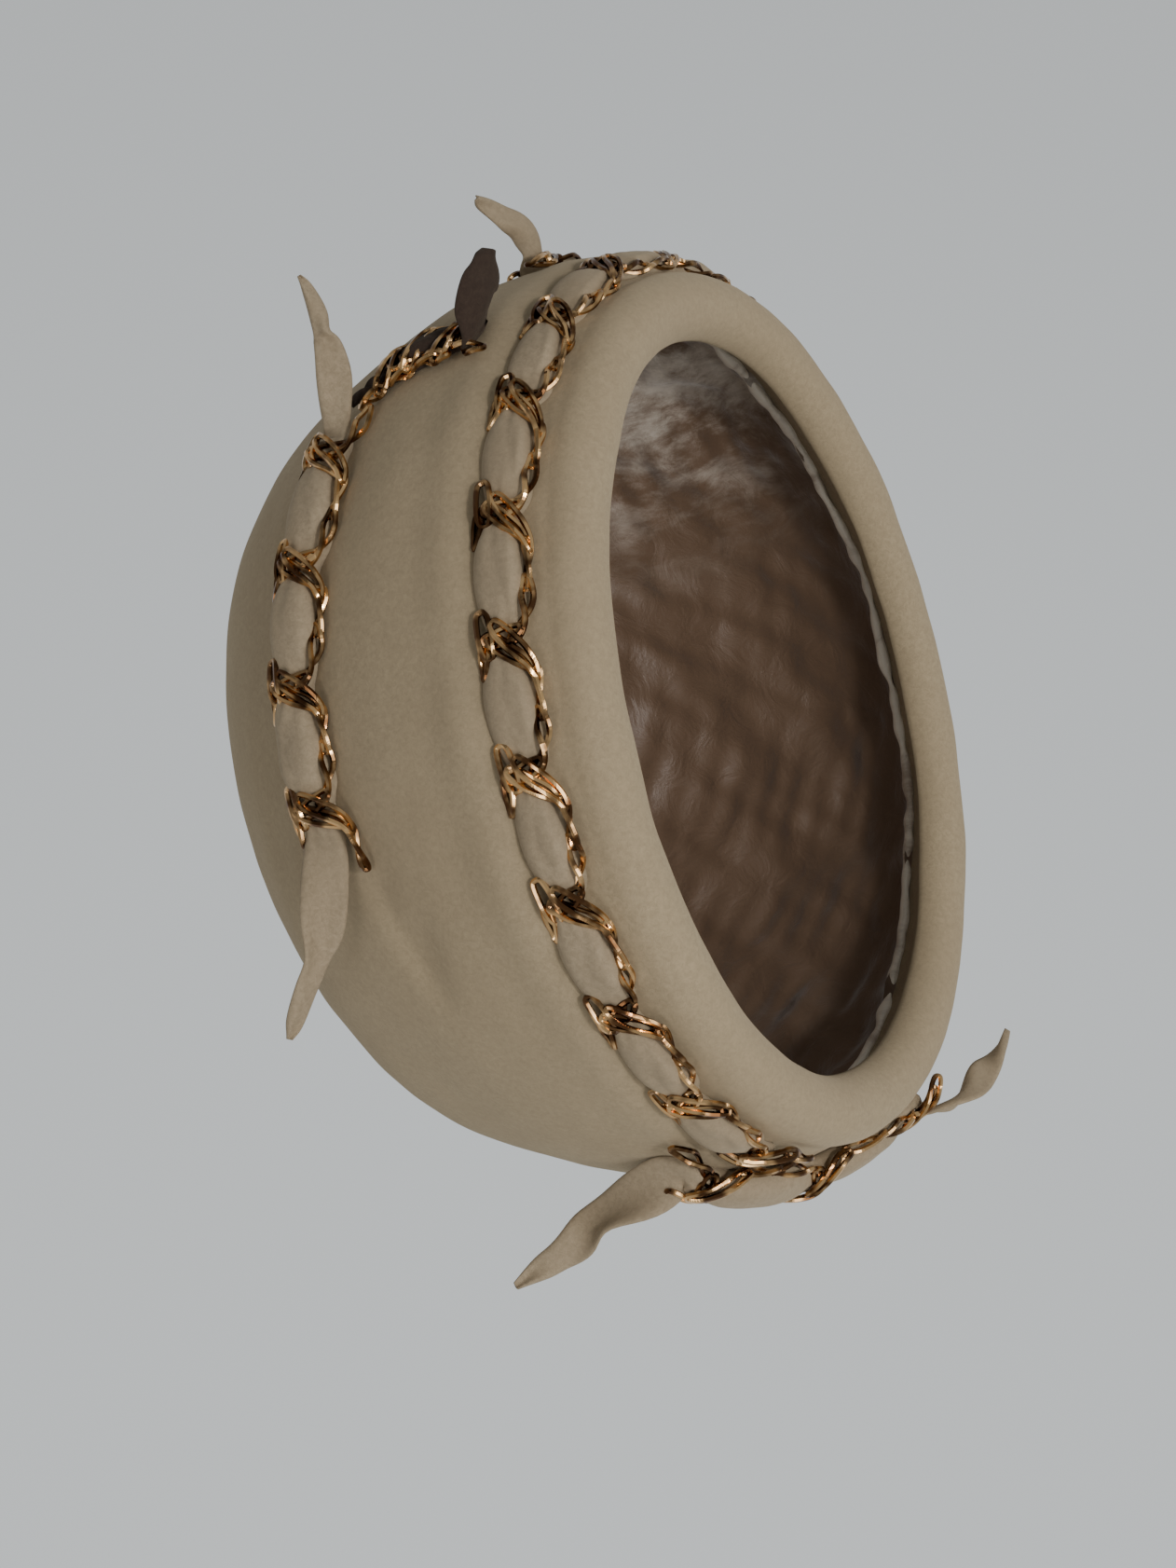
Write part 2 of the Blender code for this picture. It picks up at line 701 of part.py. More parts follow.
def tail_rings(frame, direction, length, shape):
    """Return the cross-sections of a tail that leaves a strip's end, from its root to its tip."""
    run = frame.ahead * direction
    centres = []
    for row in shape:
        shift = run * row.ahead + frame.across * row.side + frame.out * row.out
        centres.append(frame.point + frame.out * SEAT_CLEARANCE + shift * length)
    rings = []
    across = frame.across
    for index, row in enumerate(shape):
        fore = centres[min(index + 1, len(shape) - 1)]
        rear = centres[index - 1] if index else frame.point
        before, run = run, unit(fore - rear)
        across = carried_round(across, before, run)
        out = np.cross(run, across) * direction
        twist = math.radians(row.twist)
        turned = across * math.cos(twist) + out * math.sin(twist)
        normal = out * math.cos(twist) - across * math.sin(twist)
        half = row.half * length
        rings.append(tail_ring(centres[index], turned, normal, half, min(TAIL_THICKNESS, half)))
    return rings


def build_trim(name, route, knot_count, colour, start_tail=None, end_tail=None):
    """Add a trim's strip, puffed between its knots, and the chain that binds it."""
    knots = knot_marks(route.length, knot_count)
    pitch = knots[1] - knots[0]
    spots = [(first + pitch * row.share, row) for first in knots[:-1] for row in PUFF_SHAPE]
    spots.append((knots[-1], PUFF_SHAPE[0]))
    rings = []
    for spot, row in spots:
        half = (NECK_WIDTH + (STRIP_WIDTH - NECK_WIDTH) * row.width) / 2
        height = NECK_HEIGHT + (STRIP_HEIGHT - NECK_HEIGHT) * row.height
        rings.append(strip_ring(route, spot, half, height))
    if start_tail:
        rings.insert(0, strip_ring(route, 0.0, NECK_WIDTH / 2, NECK_HEIGHT))
        length, shape = start_tail
        rings = tail_rings(route.frame(0.0), -1.0, length, shape)[::-1] + rings
    if end_tail:
        rings.append(strip_ring(route, route.length, NECK_WIDTH / 2, NECK_HEIGHT))
        length, shape = end_tail
        rings = rings + tail_rings(route.frame(route.length), 1.0, length, shape)
    add_mesh(name + "_strip", rings, colour)
    add_chain(name + "_chain", route, knots)


def add_chain(name, route, knots):
    """Add a trim's chain as a plain tube: beside each puff, and over the strip at each knot."""
    radius = CHAIN_WIDTH / 2
    pitch = knots[1] - knots[0]
    beside = STRIP_WIDTH / 2 + radius + SEAT_CLEARANCE
    points = []
    for knot in knots:
        for row in CHAIN_SHAPE[:1] if knot == knots[-1] else CHAIN_SHAPE:
            frame = route.frame(knot + pitch * row.share, aside=beside * row.beside)
            lift = SEAT_CLEARANCE + radius + (NECK_HEIGHT + CHAIN_CLEARANCE) * row.over
            points.append(frame.point + frame.out * lift)
    curve = bpy.data.curves.new(name, "CURVE")
    curve.dimensions = "3D"
    curve.bevel_depth = radius
    curve.bevel_resolution = 2
    curve.use_fill_caps = True
    spline = curve.splines.new("POLY")
    spline.points.add(len(points) - 1)
    for spot, point in zip(spline.points, points):
        spot.co = (*point, 1.0)
    curve.materials.append(plain_material(name, GOLD))
    thing = bpy.data.objects.new(name, curve)
    bpy.context.scene.collection.objects.link(thing)


def build_turban():
    """Add every piece."""
    for old in list(bpy.data.objects):
        bpy.data.objects.remove(old)
    build_crown()
    build_lining()
    build_piping()
    build_trim("rim", rim_route(), RIM_KNOTS, BEIGE_FELT)
    build_trim("right", route_through(RIGHT_TRIM_ROUTE), SIDE_KNOTS, BEIGE_FELT,
               (RIGHT_FRONT_TAIL, RIGHT_FRONT_SHAPE), (RIGHT_BACK_TAIL, RIGHT_BACK_SHAPE))
    build_trim("left", route_through(LEFT_TRIM_ROUTE), SIDE_KNOTS, BEIGE_FELT,
               (LEFT_BACK_TAIL, RIGHT_FRONT_SHAPE), (LEFT_FRONT_TAIL, LEFT_FRONT_SHAPE))
    build_trim("front", route_through(FRONT_TRIM_ROUTE), FRONT_KNOTS, TAUPE_FELT,
               (FRONT_LOW_TAIL, FRONT_LOW_SHAPE), (FRONT_HIGH_TAIL, FRONT_HIGH_SHAPE))
    build_trim("nape", route_through(NAPE_TRIM_ROUTE), NAPE_KNOTS, BEIGE_FELT,
               (NAPE_RIGHT_TAIL, NAPE_RIGHT_SHAPE), (NAPE_LEFT_TAIL, NAPE_LEFT_SHAPE))


build_turban()
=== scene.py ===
"""The looks of a felt turban with chain trims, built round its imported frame.

The hat stands as it is worn: +Z runs up through the crown, -Y is its front and -X is the
wearer's right. A place on the crown is given by its turn, in degrees about +Z from +X (90 is the
nape, 180 the right side, 270 the front), and by its rise above the plane of the rim.
"""

import logging
import math
from collections.abc import Sequence
from dataclasses import dataclass, field
from enum import Enum
from typing import NamedTuple

import bpy
import numpy as np
from mathutils import Matrix, Vector


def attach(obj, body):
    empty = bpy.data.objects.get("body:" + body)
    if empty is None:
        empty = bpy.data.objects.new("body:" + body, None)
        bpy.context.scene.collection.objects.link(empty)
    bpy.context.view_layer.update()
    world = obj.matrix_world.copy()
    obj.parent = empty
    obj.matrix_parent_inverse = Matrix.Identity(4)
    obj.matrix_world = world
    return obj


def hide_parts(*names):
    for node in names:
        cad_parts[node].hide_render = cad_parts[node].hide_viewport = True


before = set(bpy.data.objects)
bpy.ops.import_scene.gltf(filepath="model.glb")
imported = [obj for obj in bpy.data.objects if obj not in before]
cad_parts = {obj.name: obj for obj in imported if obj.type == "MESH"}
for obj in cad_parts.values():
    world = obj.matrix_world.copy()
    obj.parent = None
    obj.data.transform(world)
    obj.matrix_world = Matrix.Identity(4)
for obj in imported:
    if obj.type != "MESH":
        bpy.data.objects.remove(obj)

LOG = logging.getLogger("turban")
Array = np.ndarray
MM = 0.001


# Tables
class Section(NamedTuple):
    """One level of the crown: rise as a share of its height over the roll, the others of its sizes."""

    rise: float
    length: float
    width: float
    shift: float


CROWN_SECTIONS = (
    Section(rise=0.000, length=0.939, width=0.932, shift=-0.002),
    Section(rise=0.098, length=0.983, width=0.980, shift=-0.010),
    Section(rise=0.267, length=1.000, width=1.000, shift=-0.016),
    Section(rise=0.462, length=0.955, width=0.960, shift=-0.016),
    Section(rise=0.658, length=0.872, width=0.865, shift=-0.018),
    Section(rise=0.788, length=0.762, width=0.730, shift=-0.030),
    Section(rise=0.886, length=0.615, width=0.570, shift=-0.048),
    Section(rise=0.950, length=0.440, width=0.400, shift=-0.060),
    Section(rise=0.988, length=0.225, width=0.205, shift=-0.068),
    Section(rise=1.000, length=0.000, width=0.000, shift=-0.072),
)


class Dent(NamedTuple):
    """A soft dent: its middle, its depth in millimetres, and how far it spreads."""

    turn: float
    rise: float
    depth: float
    turn_spread: float
    rise_spread: float


CROWN_DENTS = (
    Dent(turn=166.0, rise=0.43, depth=1.5, turn_spread=4.0, rise_spread=0.06),
    Dent(turn=157.0, rise=0.39, depth=1.75, turn_spread=6.0, rise_spread=0.04),
    Dent(turn=212.0, rise=0.30, depth=-0.9, turn_spread=12.0, rise_spread=0.07),
    Dent(turn=135.0, rise=0.55, depth=1.25, turn_spread=14.0, rise_spread=0.10),
    Dent(turn=20.0, rise=0.42, depth=1.5, turn_spread=8.0, rise_spread=0.06),
)


class Crease(NamedTuple):
    """One point of the sharp crease under the right trim's end: its place and its depth in millimetres."""

    turn: float
    rise: float
    depth: float


RIGHT_CREASE = (
    Crease(turn=167.0, rise=0.071, depth=0.4),
    Crease(turn=161.0, rise=0.069, depth=0.9),
    Crease(turn=155.5, rise=0.067, depth=0.8),
    Crease(turn=150.0, rise=0.064, depth=0.2),
)


class TrimLevel(NamedTuple):
    """At one turn, the rim trim's rise and the ridge's lift, as shares of those at the sides."""

    turn: float
    rise: float
    ridge: float


RIM_TRIM_LEVELS = (
    TrimLevel(turn=0.0, rise=1.00, ridge=1.0),
    TrimLevel(turn=90.0, rise=0.86, ridge=0.2),
    TrimLevel(turn=180.0, rise=1.00, ridge=1.0),
    TrimLevel(turn=270.0, rise=0.80, ridge=0.8),
    TrimLevel(turn=360.0, rise=1.00, ridge=1.0),
)


class Station(NamedTuple):
    """A place that a trim passes through: its turn, and its rise as a share of the crown's height."""

    turn: float
    rise: float


RIGHT_TRIM_ROUTE = (
    Station(turn=220.0, rise=0.430),
    Station(turn=209.0, rise=0.455),
    Station(turn=196.5, rise=0.478),
    Station(turn=184.5, rise=0.490),
    Station(turn=174.0, rise=0.480),
)
LEFT_TRIM_ROUTE = (
    Station(turn=314.0, rise=0.330),
    Station(turn=300.0, rise=0.305),
    Station(turn=285.0, rise=0.295),
    Station(turn=263.0, rise=0.290),
)
FRONT_TRIM_ROUTE = (
    Station(turn=229.0, rise=0.375),
    Station(turn=230.5, rise=0.320),
    Station(turn=231.0, rise=0.260),
    Station(turn=230.5, rise=0.205),
)
NAPE_TRIM_ROUTE = (
    Station(turn=71.0, rise=0.058),
    Station(turn=83.0, rise=0.095),
    Station(turn=95.0, rise=0.145),
    Station(turn=106.0, rise=0.185),
    Station(turn=116.0, rise=0.205),
)


class PuffPoint(NamedTuple):
    """One section of the felt between two knots: its place between them, its padded half width, how
    far its flat lip reaches to the rim's side, and its height, in shares of the strip's half width
    and height, and where its crest lies across it."""

    share: float
    half: float
    lip: float
    height: float
    crest: float


PUFF_SHAPE = (
    PuffPoint(share=0.00, half=0.58, lip=0.62, height=0.18, crest=0.0),
    PuffPoint(share=0.12, half=0.74, lip=0.76, height=0.52, crest=0.1),
    PuffPoint(share=0.27, half=0.95, lip=0.96, height=0.92, crest=0.35),
    PuffPoint(share=0.48, half=1.04, lip=1.06, height=1.00, crest=0.5),
    PuffPoint(share=0.68, half=0.99, lip=1.05, height=0.94, crest=0.45),
    PuffPoint(share=0.84, half=0.82, lip=1.08, height=0.60, crest=0.2),
    PuffPoint(share=0.94, half=0.66, lip=0.86, height=0.28, crest=0.0),
)


class Pleat(NamedTuple):
    """One pleat of the lining: its turn at the hem, its depth in millimetres, and its spread in degrees."""

    turn: float
    depth: float
    spread: float


LINING_PLEATS = (
    Pleat(turn=28, depth=2.6, spread=4.0),
    Pleat(turn=52, depth=3.2, spread=5.0),
    Pleat(turn=75, depth=2.2, spread=3.0),
    Pleat(turn=84, depth=2.6, spread=4.0),
    Pleat(turn=96, depth=3.4, spread=4.0),
    Pleat(turn=108, depth=2.6, spread=3.0),
    Pleat(turn=122, depth=2.4, spread=5.0),
    Pleat(turn=160, depth=2.0, spread=7.0),
    Pleat(turn=205, depth=2.0, spread=6.0),
    Pleat(turn=235, depth=2.2, spread=4.0),
    Pleat(turn=248, depth=2.0, spread=5.0),
    Pleat(turn=266, depth=2.6, spread=4.0),
    Pleat(turn=284, depth=2.4, spread=4.0),
    Pleat(turn=301, depth=2.8, spread=4.0),
    Pleat(turn=318, depth=2.8, spread=4.0),
    Pleat(turn=335, depth=2.0, spread=4.0),
    Pleat(turn=350, depth=1.6, spread=5.0),
)


class TailPoint(NamedTuple):
    """One section of a tail, in shares of its length: how far ahead of the strip's end it lies, how
    far to the rim's side, how far out from the crown, its half width, and its twist in degrees."""

    ahead: float
    side: float
    out: float
    half: float
    twist: float


class LinkPoint(NamedTuple):
    """One point of a link's middle line at a knot: its distance along from the knot, as a share of
    the knots' spacing, how far it lies to the rim's side and out from the felt, in millimetres, the
    link's width there, in millimetres, and how far it is turned on edge, in degrees."""

    along: float
    across: float
    out: float
    width: float
    turned: float


OVER_LINK = (
    LinkPoint(along=-0.110, across=-3.0, out=4.3, width=5.0, turned=5.0),
    LinkPoint(along=-0.040, across=-0.8, out=4.9, width=5.2, turned=0.0),
    LinkPoint(along=0.025, across=1.6, out=4.9, width=5.0, turned=-5.0),
    LinkPoint(along=0.100, across=4.2, out=4.4, width=4.6, turned=-25.0),
    LinkPoint(along=0.190, across=6.1, out=3.4, width=4.4, turned=-55.0),
    LinkPoint(along=0.290, across=6.8, out=2.5, width=4.2, turned=-80.0),
)
SECOND_LINK = (
    LinkPoint(along=-0.035, across=-4.8, out=3.4, width=4.6, turned=0.0),
    LinkPoint(along=0.035, across=-2.2, out=4.0, width=4.8, turned=-5.0),
    LinkPoint(along=0.095, across=0.8, out=4.0, width=4.6, turned=-10.0),
    LinkPoint(along=0.150, across=3.8, out=3.6, width=4.4, turned=-30.0),
    LinkPoint(along=0.210, across=5.8, out=2.8, width=4.0, turned=-55.0),
)
THIN_LINK = (
    LinkPoint(along=0.200, across=6.3, out=2.1, width=3.8, turned=-30.0),
    LinkPoint(along=0.290, across=6.8, out=2.4, width=4.0, turned=-75.0),
    LinkPoint(along=0.390, across=6.8, out=2.5, width=3.8, turned=-110.0),
    LinkPoint(along=0.500, across=6.5, out=2.5, width=3.8, turned=-150.0),
    LinkPoint(along=0.600, across=6.1, out=2.2, width=3.8, turned=-190.0),
)
WIDE_LINK = (
    LinkPoint(along=-0.500, across=5.8, out=2.4, width=4.2, turned=15.0),
    LinkPoint(along=-0.385, across=6.2, out=2.8, width=4.4, turned=-5.0),
    LinkPoint(along=-0.275, across=6.1, out=2.9, width=4.2, turned=-60.0),
    LinkPoint(along=-0.165, across=5.2, out=2.8, width=4.0, turned=-120.0),
    LinkPoint(along=-0.075, across=3.4, out=2.6, width=4.2, turned=-160.0),
    LinkPoint(along=0.010, across=1.1, out=2.5, width=4.4, turned=-180.0),
)
CROSS_LINK = (
    LinkPoint(along=-0.085, across=4.4, out=3.2, width=4.8, turned=25.0),
    LinkPoint(along=-0.030, across=1.2, out=3.6, width=5.0, turned=10.0),
    LinkPoint(along=0.010, across=-1.9, out=3.5, width=5.0, turned=-10.0),
    LinkPoint(along=0.020, across=-5.4, out=2.5, width=4.8, turned=-25.0),
)
BACK_LINK = (
    LinkPoint(along=-0.215, across=-5.8, out=2.2, width=5.4, turned=25.0),
    LinkPoint(along=-0.120, across=-5.3, out=3.0, width=5.4, turned=30.0),
    LinkPoint(along=-0.020, across=-4.9, out=3.5, width=5.4, turned=30.0),
    LinkPoint(along=0.070, across=-4.7, out=3.2, width=5.2, turned=25.0),
    LinkPoint(along=0.140, across=-4.5, out=2.4, width=5.0, turned=20.0),
)
UNDER_LINK = (
    LinkPoint(along=0.010, across=-6.0, out=1.2, width=4.0, turned=30.0),
    LinkPoint(along=0.125, across=-6.1, out=1.4, width=4.0, turned=40.0),
    LinkPoint(along=0.210, across=-6.3, out=1.2, width=3.8, turned=55.0),
    LinkPoint(along=0.290, across=-6.6, out=0.9, width=3.2, turned=60.0),
)


# Tails
RIGHT_FRONT_SHAPE = (
    TailPoint(ahead=0.09, side=0.00, out=0.10, half=0.080, twist=-30),
    TailPoint(ahead=0.33, side=0.00, out=0.24, half=0.108, twist=-65),
    TailPoint(ahead=0.50, side=0.00, out=0.36, half=0.080, twist=-60),
    TailPoint(ahead=0.55, side=0.00, out=0.41, half=0.058, twist=-25),
    TailPoint(ahead=0.64, side=0.00, out=0.49, half=0.055, twist=-55),
    TailPoint(ahead=0.73, side=0.00, out=0.61, half=0.035, twist=-60),
    TailPoint(ahead=0.76, side=0.00, out=0.68, half=0.012, twist=-60),
)
RIGHT_BACK_SHAPE = (
    TailPoint(ahead=0.19, side=-0.05, out=0.09, half=0.104, twist=-50),
    TailPoint(ahead=0.40, side=-0.06, out=0.19, half=0.102, twist=-65),
    TailPoint(ahead=0.53, side=-0.12, out=0.25, half=0.072, twist=-108),
    TailPoint(ahead=0.62, side=-0.17, out=0.29, half=0.075, twist=-110),
    TailPoint(ahead=0.76, side=-0.25, out=0.35, half=0.052, twist=-90),
    TailPoint(ahead=0.83, side=-0.27, out=0.39, half=0.014, twist=-80),
)
LEFT_FRONT_SHAPE = (
    TailPoint(ahead=0.01, side=0.05, out=0.16, half=0.116, twist=70),
    TailPoint(ahead=0.03, side=0.00, out=0.34, half=0.100, twist=15),
    TailPoint(ahead=0.18, side=-0.03, out=0.44, half=0.088, twist=30),
    TailPoint(ahead=0.36, side=-0.05, out=0.54, half=0.052, twist=35),
    TailPoint(ahead=0.45, side=-0.05, out=0.59, half=0.022, twist=35),
)
LEFT_BACK_SHAPE = (
    TailPoint(ahead=0.15, side=0.00, out=0.07, half=0.100, twist=0),
    TailPoint(ahead=0.32, side=0.02, out=0.15, half=0.105, twist=-15),
    TailPoint(ahead=0.48, side=0.03, out=0.24, half=0.080, twist=-30),
    TailPoint(ahead=0.62, side=0.02, out=0.31, half=0.060, twist=-10),
    TailPoint(ahead=0.74, side=0.00, out=0.38, half=0.014, twist=0),
)
FRONT_LOW_SHAPE = (
    TailPoint(ahead=0.14, side=0.06, out=0.10, half=0.220, twist=0),
    TailPoint(ahead=0.22, side=-0.04, out=0.24, half=0.340, twist=0),
    TailPoint(ahead=0.32, side=-0.18, out=0.40, half=0.330, twist=0),
    TailPoint(ahead=0.35, side=-0.32, out=0.49, half=0.240, twist=10),
    TailPoint(ahead=0.36, side=-0.44, out=0.56, half=0.190, twist=15),
    TailPoint(ahead=0.36, side=-0.52, out=0.61, half=0.090, twist=15),
)
FRONT_HIGH_SHAPE = (
    TailPoint(ahead=0.15, side=0.00, out=0.06, half=0.148, twist=0),
    TailPoint(ahead=0.30, side=0.04, out=0.10, half=0.104, twist=0),
    TailPoint(ahead=0.45, side=0.06, out=0.12, half=0.067, twist=0),
    TailPoint(ahead=0.60, side=0.08, out=0.12, half=0.022, twist=0),
)
NAPE_RIGHT_SHAPE = (
    TailPoint(ahead=0.02, side=-0.054, out=0.03, half=0.088, twist=-50),
    TailPoint(ahead=0.03, side=-0.15, out=0.09, half=0.094, twist=-75),
    TailPoint(ahead=0.06, side=-0.31, out=0.18, half=0.085, twist=-122),
    TailPoint(ahead=0.09, side=-0.40, out=0.25, half=0.070, twist=-80),
    TailPoint(ahead=0.13, side=-0.47, out=0.31, half=0.054, twist=-40),
    TailPoint(ahead=0.17, side=-0.52, out=0.37, half=0.038, twist=-70),
    TailPoint(ahead=0.22, side=-0.56, out=0.43, half=0.014, twist=-80),
)
NAPE_LEFT_SHAPE = (
    TailPoint(ahead=0.02, side=0.01, out=0.13, half=0.065, twist=60),
    TailPoint(ahead=0.11, side=0.14, out=0.16, half=0.065, twist=25),
    TailPoint(ahead=0.26, side=0.19, out=0.16, half=0.078, twist=60),
    TailPoint(ahead=0.40, side=0.20, out=0.15, half=0.080, twist=95),
    TailPoint(ahead=0.55, side=0.19, out=0.13, half=0.055, twist=60),
    TailPoint(ahead=0.72, side=0.17, out=0.10, half=0.014, twist=40),
)


# Numbers
def eased(rows: Array, steps: Array, last: Array | None = None) -> Array:
    """Read a table smoothly.

    Args:
        rows: The table, one row for each whole step.
        steps: Where to read it, from 0 to its last row.
        last: What would follow the last row, if that isn't a straight run on.

    Returns:
        The table's values at those steps.
    """
    table = np.asarray(rows, dtype=float)
    before = 2 * table[0] - table[1]
    after = 2 * table[-1] - table[-2] if last is None else np.asarray(last, dtype=float)
    padded = np.vstack([before, table, after])
    held = np.clip(np.asarray(steps, dtype=float), 0.0, len(table) - 1.0)
    row = np.minimum(held.astype(int), len(table) - 2)
    part = (held - row)[..., None]
    a, b, c, d = (padded[row + k] for k in range(4))
    return 0.5 * (2 * b + (c - a) * part + (2 * a - 5 * b + 4 * c - d) * part ** 2
                  + (3 * b - a - 3 * c + d) * part ** 3)


def turn_gap(turns: Array, middle: float | Array) -> Array:
    """Return how far turns lie from a middle, between -180 and 180 degrees."""
    return (turns - middle + 180.0) % 360.0 - 180.0


def swell(distance: Array, spread: float) -> Array:
    """Return a bump that is 1 in its middle and dies away over its spread."""
    return np.exp(-(distance / spread) ** 2)


def unit(vectors: Array) -> Array:
    """Return vectors at length one."""
    return vectors / np.maximum(np.linalg.norm(vectors, axis=-1, keepdims=True), 1e-12)


def dot(first: Array, second: Array) -> Array:
    """Return the products of two rows of vectors, kept as a column."""
    return (first * second).sum(axis=-1, keepdims=True)


def ripple(points: Array, scale: float, seed: int, waves: int = 9) -> Array:
    """Return a smooth, irregular ripple between about -1 and 1.

    Args:
        points: Places in metres, three numbers each.
        scale: The size of one bump, in metres.
        seed: Which ripple it is.
        waves: How many waves are laid over one another.

    Returns:
        One height for each place.
    """
    chance = np.random.default_rng(seed)
    heights = np.zeros(points.shape[:-1])
    for _ in range(waves):
        way = unit(chance.normal(size=3)) * 2 * math.pi / (scale * chance.uniform(0.8, 1.9))
        heights += np.sin(points @ way + chance.uniform(0.0, 2 * math.pi))
    return heights / math.sqrt(waves)


class Wrinkle(NamedTuple):
    """One layer of a surface's unevenness: the size of its bumps, their height, and which ripple it is."""

    scale: float
    height: float
    seed: int


def wrinkled(points: Array, wrinkles: tuple[Wrinkle, ...]) -> Array:
    """Return the height of several layers of wrinkles at points, in metres."""
    return sum(ripple(points, wrinkle.scale, wrinkle.seed) * wrinkle.height for wrinkle in wrinkles)


# Finishes
class NodeMaker:
    """Makes a material's nodes with a few words each."""

    def __init__(self, name: str) -> None:
        """Start a material of that name, with its shader and its places in the row's frame."""
        self.material = bpy.data.materials.new(name)
        self.material.use_nodes = True
        self.tree = self.material.node_tree
        self.shader = self.tree.nodes["Principled BSDF"]
        self.places = self.tree.nodes.new("ShaderNodeTexCoord").outputs["Object"]

    def noise(self, scale: float, detail: float, roughness: float = 0.55, warp: float = 0.0,
              stretch: tuple[float, float, float] = (1.0, 1.0, 1.0)) -> bpy.types.NodeSocket:
        """Add a noise.

        Args:
            scale: Bumps to the metre.
            detail: How many finer layers it has.
            roughness: How strong those layers are.
            warp: How far it is distorted.
            stretch: How much it is squeezed along each axis.

        Returns:
            The noise's height, from 0 to 1.
        """
        mapping = self.tree.nodes.new("ShaderNodeMapping")
        mapping.inputs["Scale"].default_value = stretch
        self.tree.links.new(self.places, mapping.inputs["Vector"])
        node = self.tree.nodes.new("ShaderNodeTexNoise")
        node.inputs["Scale"].default_value = scale
        node.inputs["Detail"].default_value = detail
        node.inputs["Roughness"].default_value = roughness
        node.inputs["Distortion"].default_value = warp
        self.tree.links.new(mapping.outputs["Vector"], node.inputs["Vector"])
        return node.outputs["Fac"]

    def ramp(self, value: bpy.types.NodeSocket, low: float, high: float) -> bpy.types.NodeSocket:
        """Return a value spread smoothly from 0 at low to 1 at high."""
        node = self.tree.nodes.new("ShaderNodeMapRange")
        node.interpolation_type = "SMOOTHSTEP"
        node.inputs["From Min"].default_value = low
        node.inputs["From Max"].default_value = high
        self.tree.links.new(value, node.inputs["Value"])
        return node.outputs["Result"]

    def blend(self, share: bpy.types.NodeSocket, first: object, second: object) -> bpy.types.NodeSocket:
        """Mix two colours.

        Args:
            share: How much of the second there is.
            first: A colour's three numbers, or a socket.
            second: A colour's three numbers, or a socket.

        Returns:
            The mixed colour.
        """
        node = self.tree.nodes.new("ShaderNodeMix")
        node.data_type = "RGBA"
        self.tree.links.new(share, node.inputs["Factor"])
        for spot, colour in ((6, first), (7, second)):
            if isinstance(colour, tuple):
                node.inputs[spot].default_value = (*colour, 1.0)
            else:
                self.tree.links.new(colour, node.inputs[spot])
        return node.outputs[2]

    def bump(self, height: bpy.types.NodeSocket, distance: float, strength: float,
             under: bpy.types.NodeSocket | None = None) -> bpy.types.NodeSocket:
        """Add a bump.

        Args:
            height: The height, from 0 to 1.
            distance: What a height of 1 stands for, in metres.
            strength: How strong it shows.
            under: A bump that it lies on.

        Returns:
            The bumped normal.
        """
        node = self.tree.nodes.new("ShaderNodeBump")
        node.inputs["Distance"].default_value = distance
        node.inputs["Strength"].default_value = strength
        self.tree.links.new(height, node.inputs["Height"])
        if under is not None:
            self.tree.links.new(under, node.inputs["Normal"])
        return node.outputs["Normal"]

    def front(self, none_at: float, full_at: float) -> bpy.types.NodeSocket:
        """Return a value that grows from 0 to 1 between two places along the hat, in metres."""
        split = self.tree.nodes.new("ShaderNodeSeparateXYZ")
        self.tree.links.new(self.places, split.inputs[0])
        return self.ramp(split.outputs["Y"], none_at, full_at)

    def times(self, first: bpy.types.NodeSocket, second: bpy.types.NodeSocket) -> bpy.types.NodeSocket:
        """Return the product of two values."""
        node = self.tree.nodes.new("ShaderNodeMath")
        node.operation = "MULTIPLY"
        self.tree.links.new(first, node.inputs[0])
        self.tree.links.new(second, node.inputs[1])
        return node.outputs["Value"]

    def feed(self, name: str, value: bpy.types.NodeSocket) -> None:
        """Link a value to one of the shader's own sockets."""
        self.tree.links.new(value, self.shader.inputs[name])


Colour = tuple[float, float, float]


@dataclass(frozen=True)
class FeltFinish:
    """Matt wool felt: two close tones, a soft nap and a faint sheen."""

    name: str
    light: Colour
    dark: Colour
    sheen: float = 0.22
    tint: Colour = (0.95, 0.78, 0.56)
    speck_share: float = 0.80

    def material(self) -> bpy.types.Material:
        """Return the felt as a material."""
        maker = NodeMaker(self.name)
        clouds = maker.ramp(maker.noise(scale=16.0, detail=5.0, roughness=0.6), low=0.30, high=0.72)
        fibres = maker.noise(scale=700.0, detail=5.0, roughness=0.75, warp=0.6)
        tone = maker.blend(clouds, self.dark, self.light)
        speck = tuple(channel * self.speck_share for channel in self.dark)
        maker.feed("Base Color", maker.blend(maker.ramp(fibres, low=0.25, high=0.80), speck, tone))
        soft = maker.bump(maker.noise(scale=110.0, detail=4.0), distance=0.0006, strength=0.25)
        fine = maker.noise(scale=1500.0, detail=5.0, roughness=0.75, warp=0.8)
        maker.feed("Normal", maker.bump(fine, distance=0.00025, strength=0.5, under=soft))
        maker.shader.inputs["Roughness"].default_value = 0.95
        maker.shader.inputs["Specular IOR Level"].default_value = 0.2
        maker.shader.inputs["Sheen Weight"].default_value = self.sheen
        maker.shader.inputs["Sheen Roughness"].default_value = 0.55
        maker.shader.inputs["Sheen Tint"].default_value = (*self.tint, 1.0)
        return maker.material


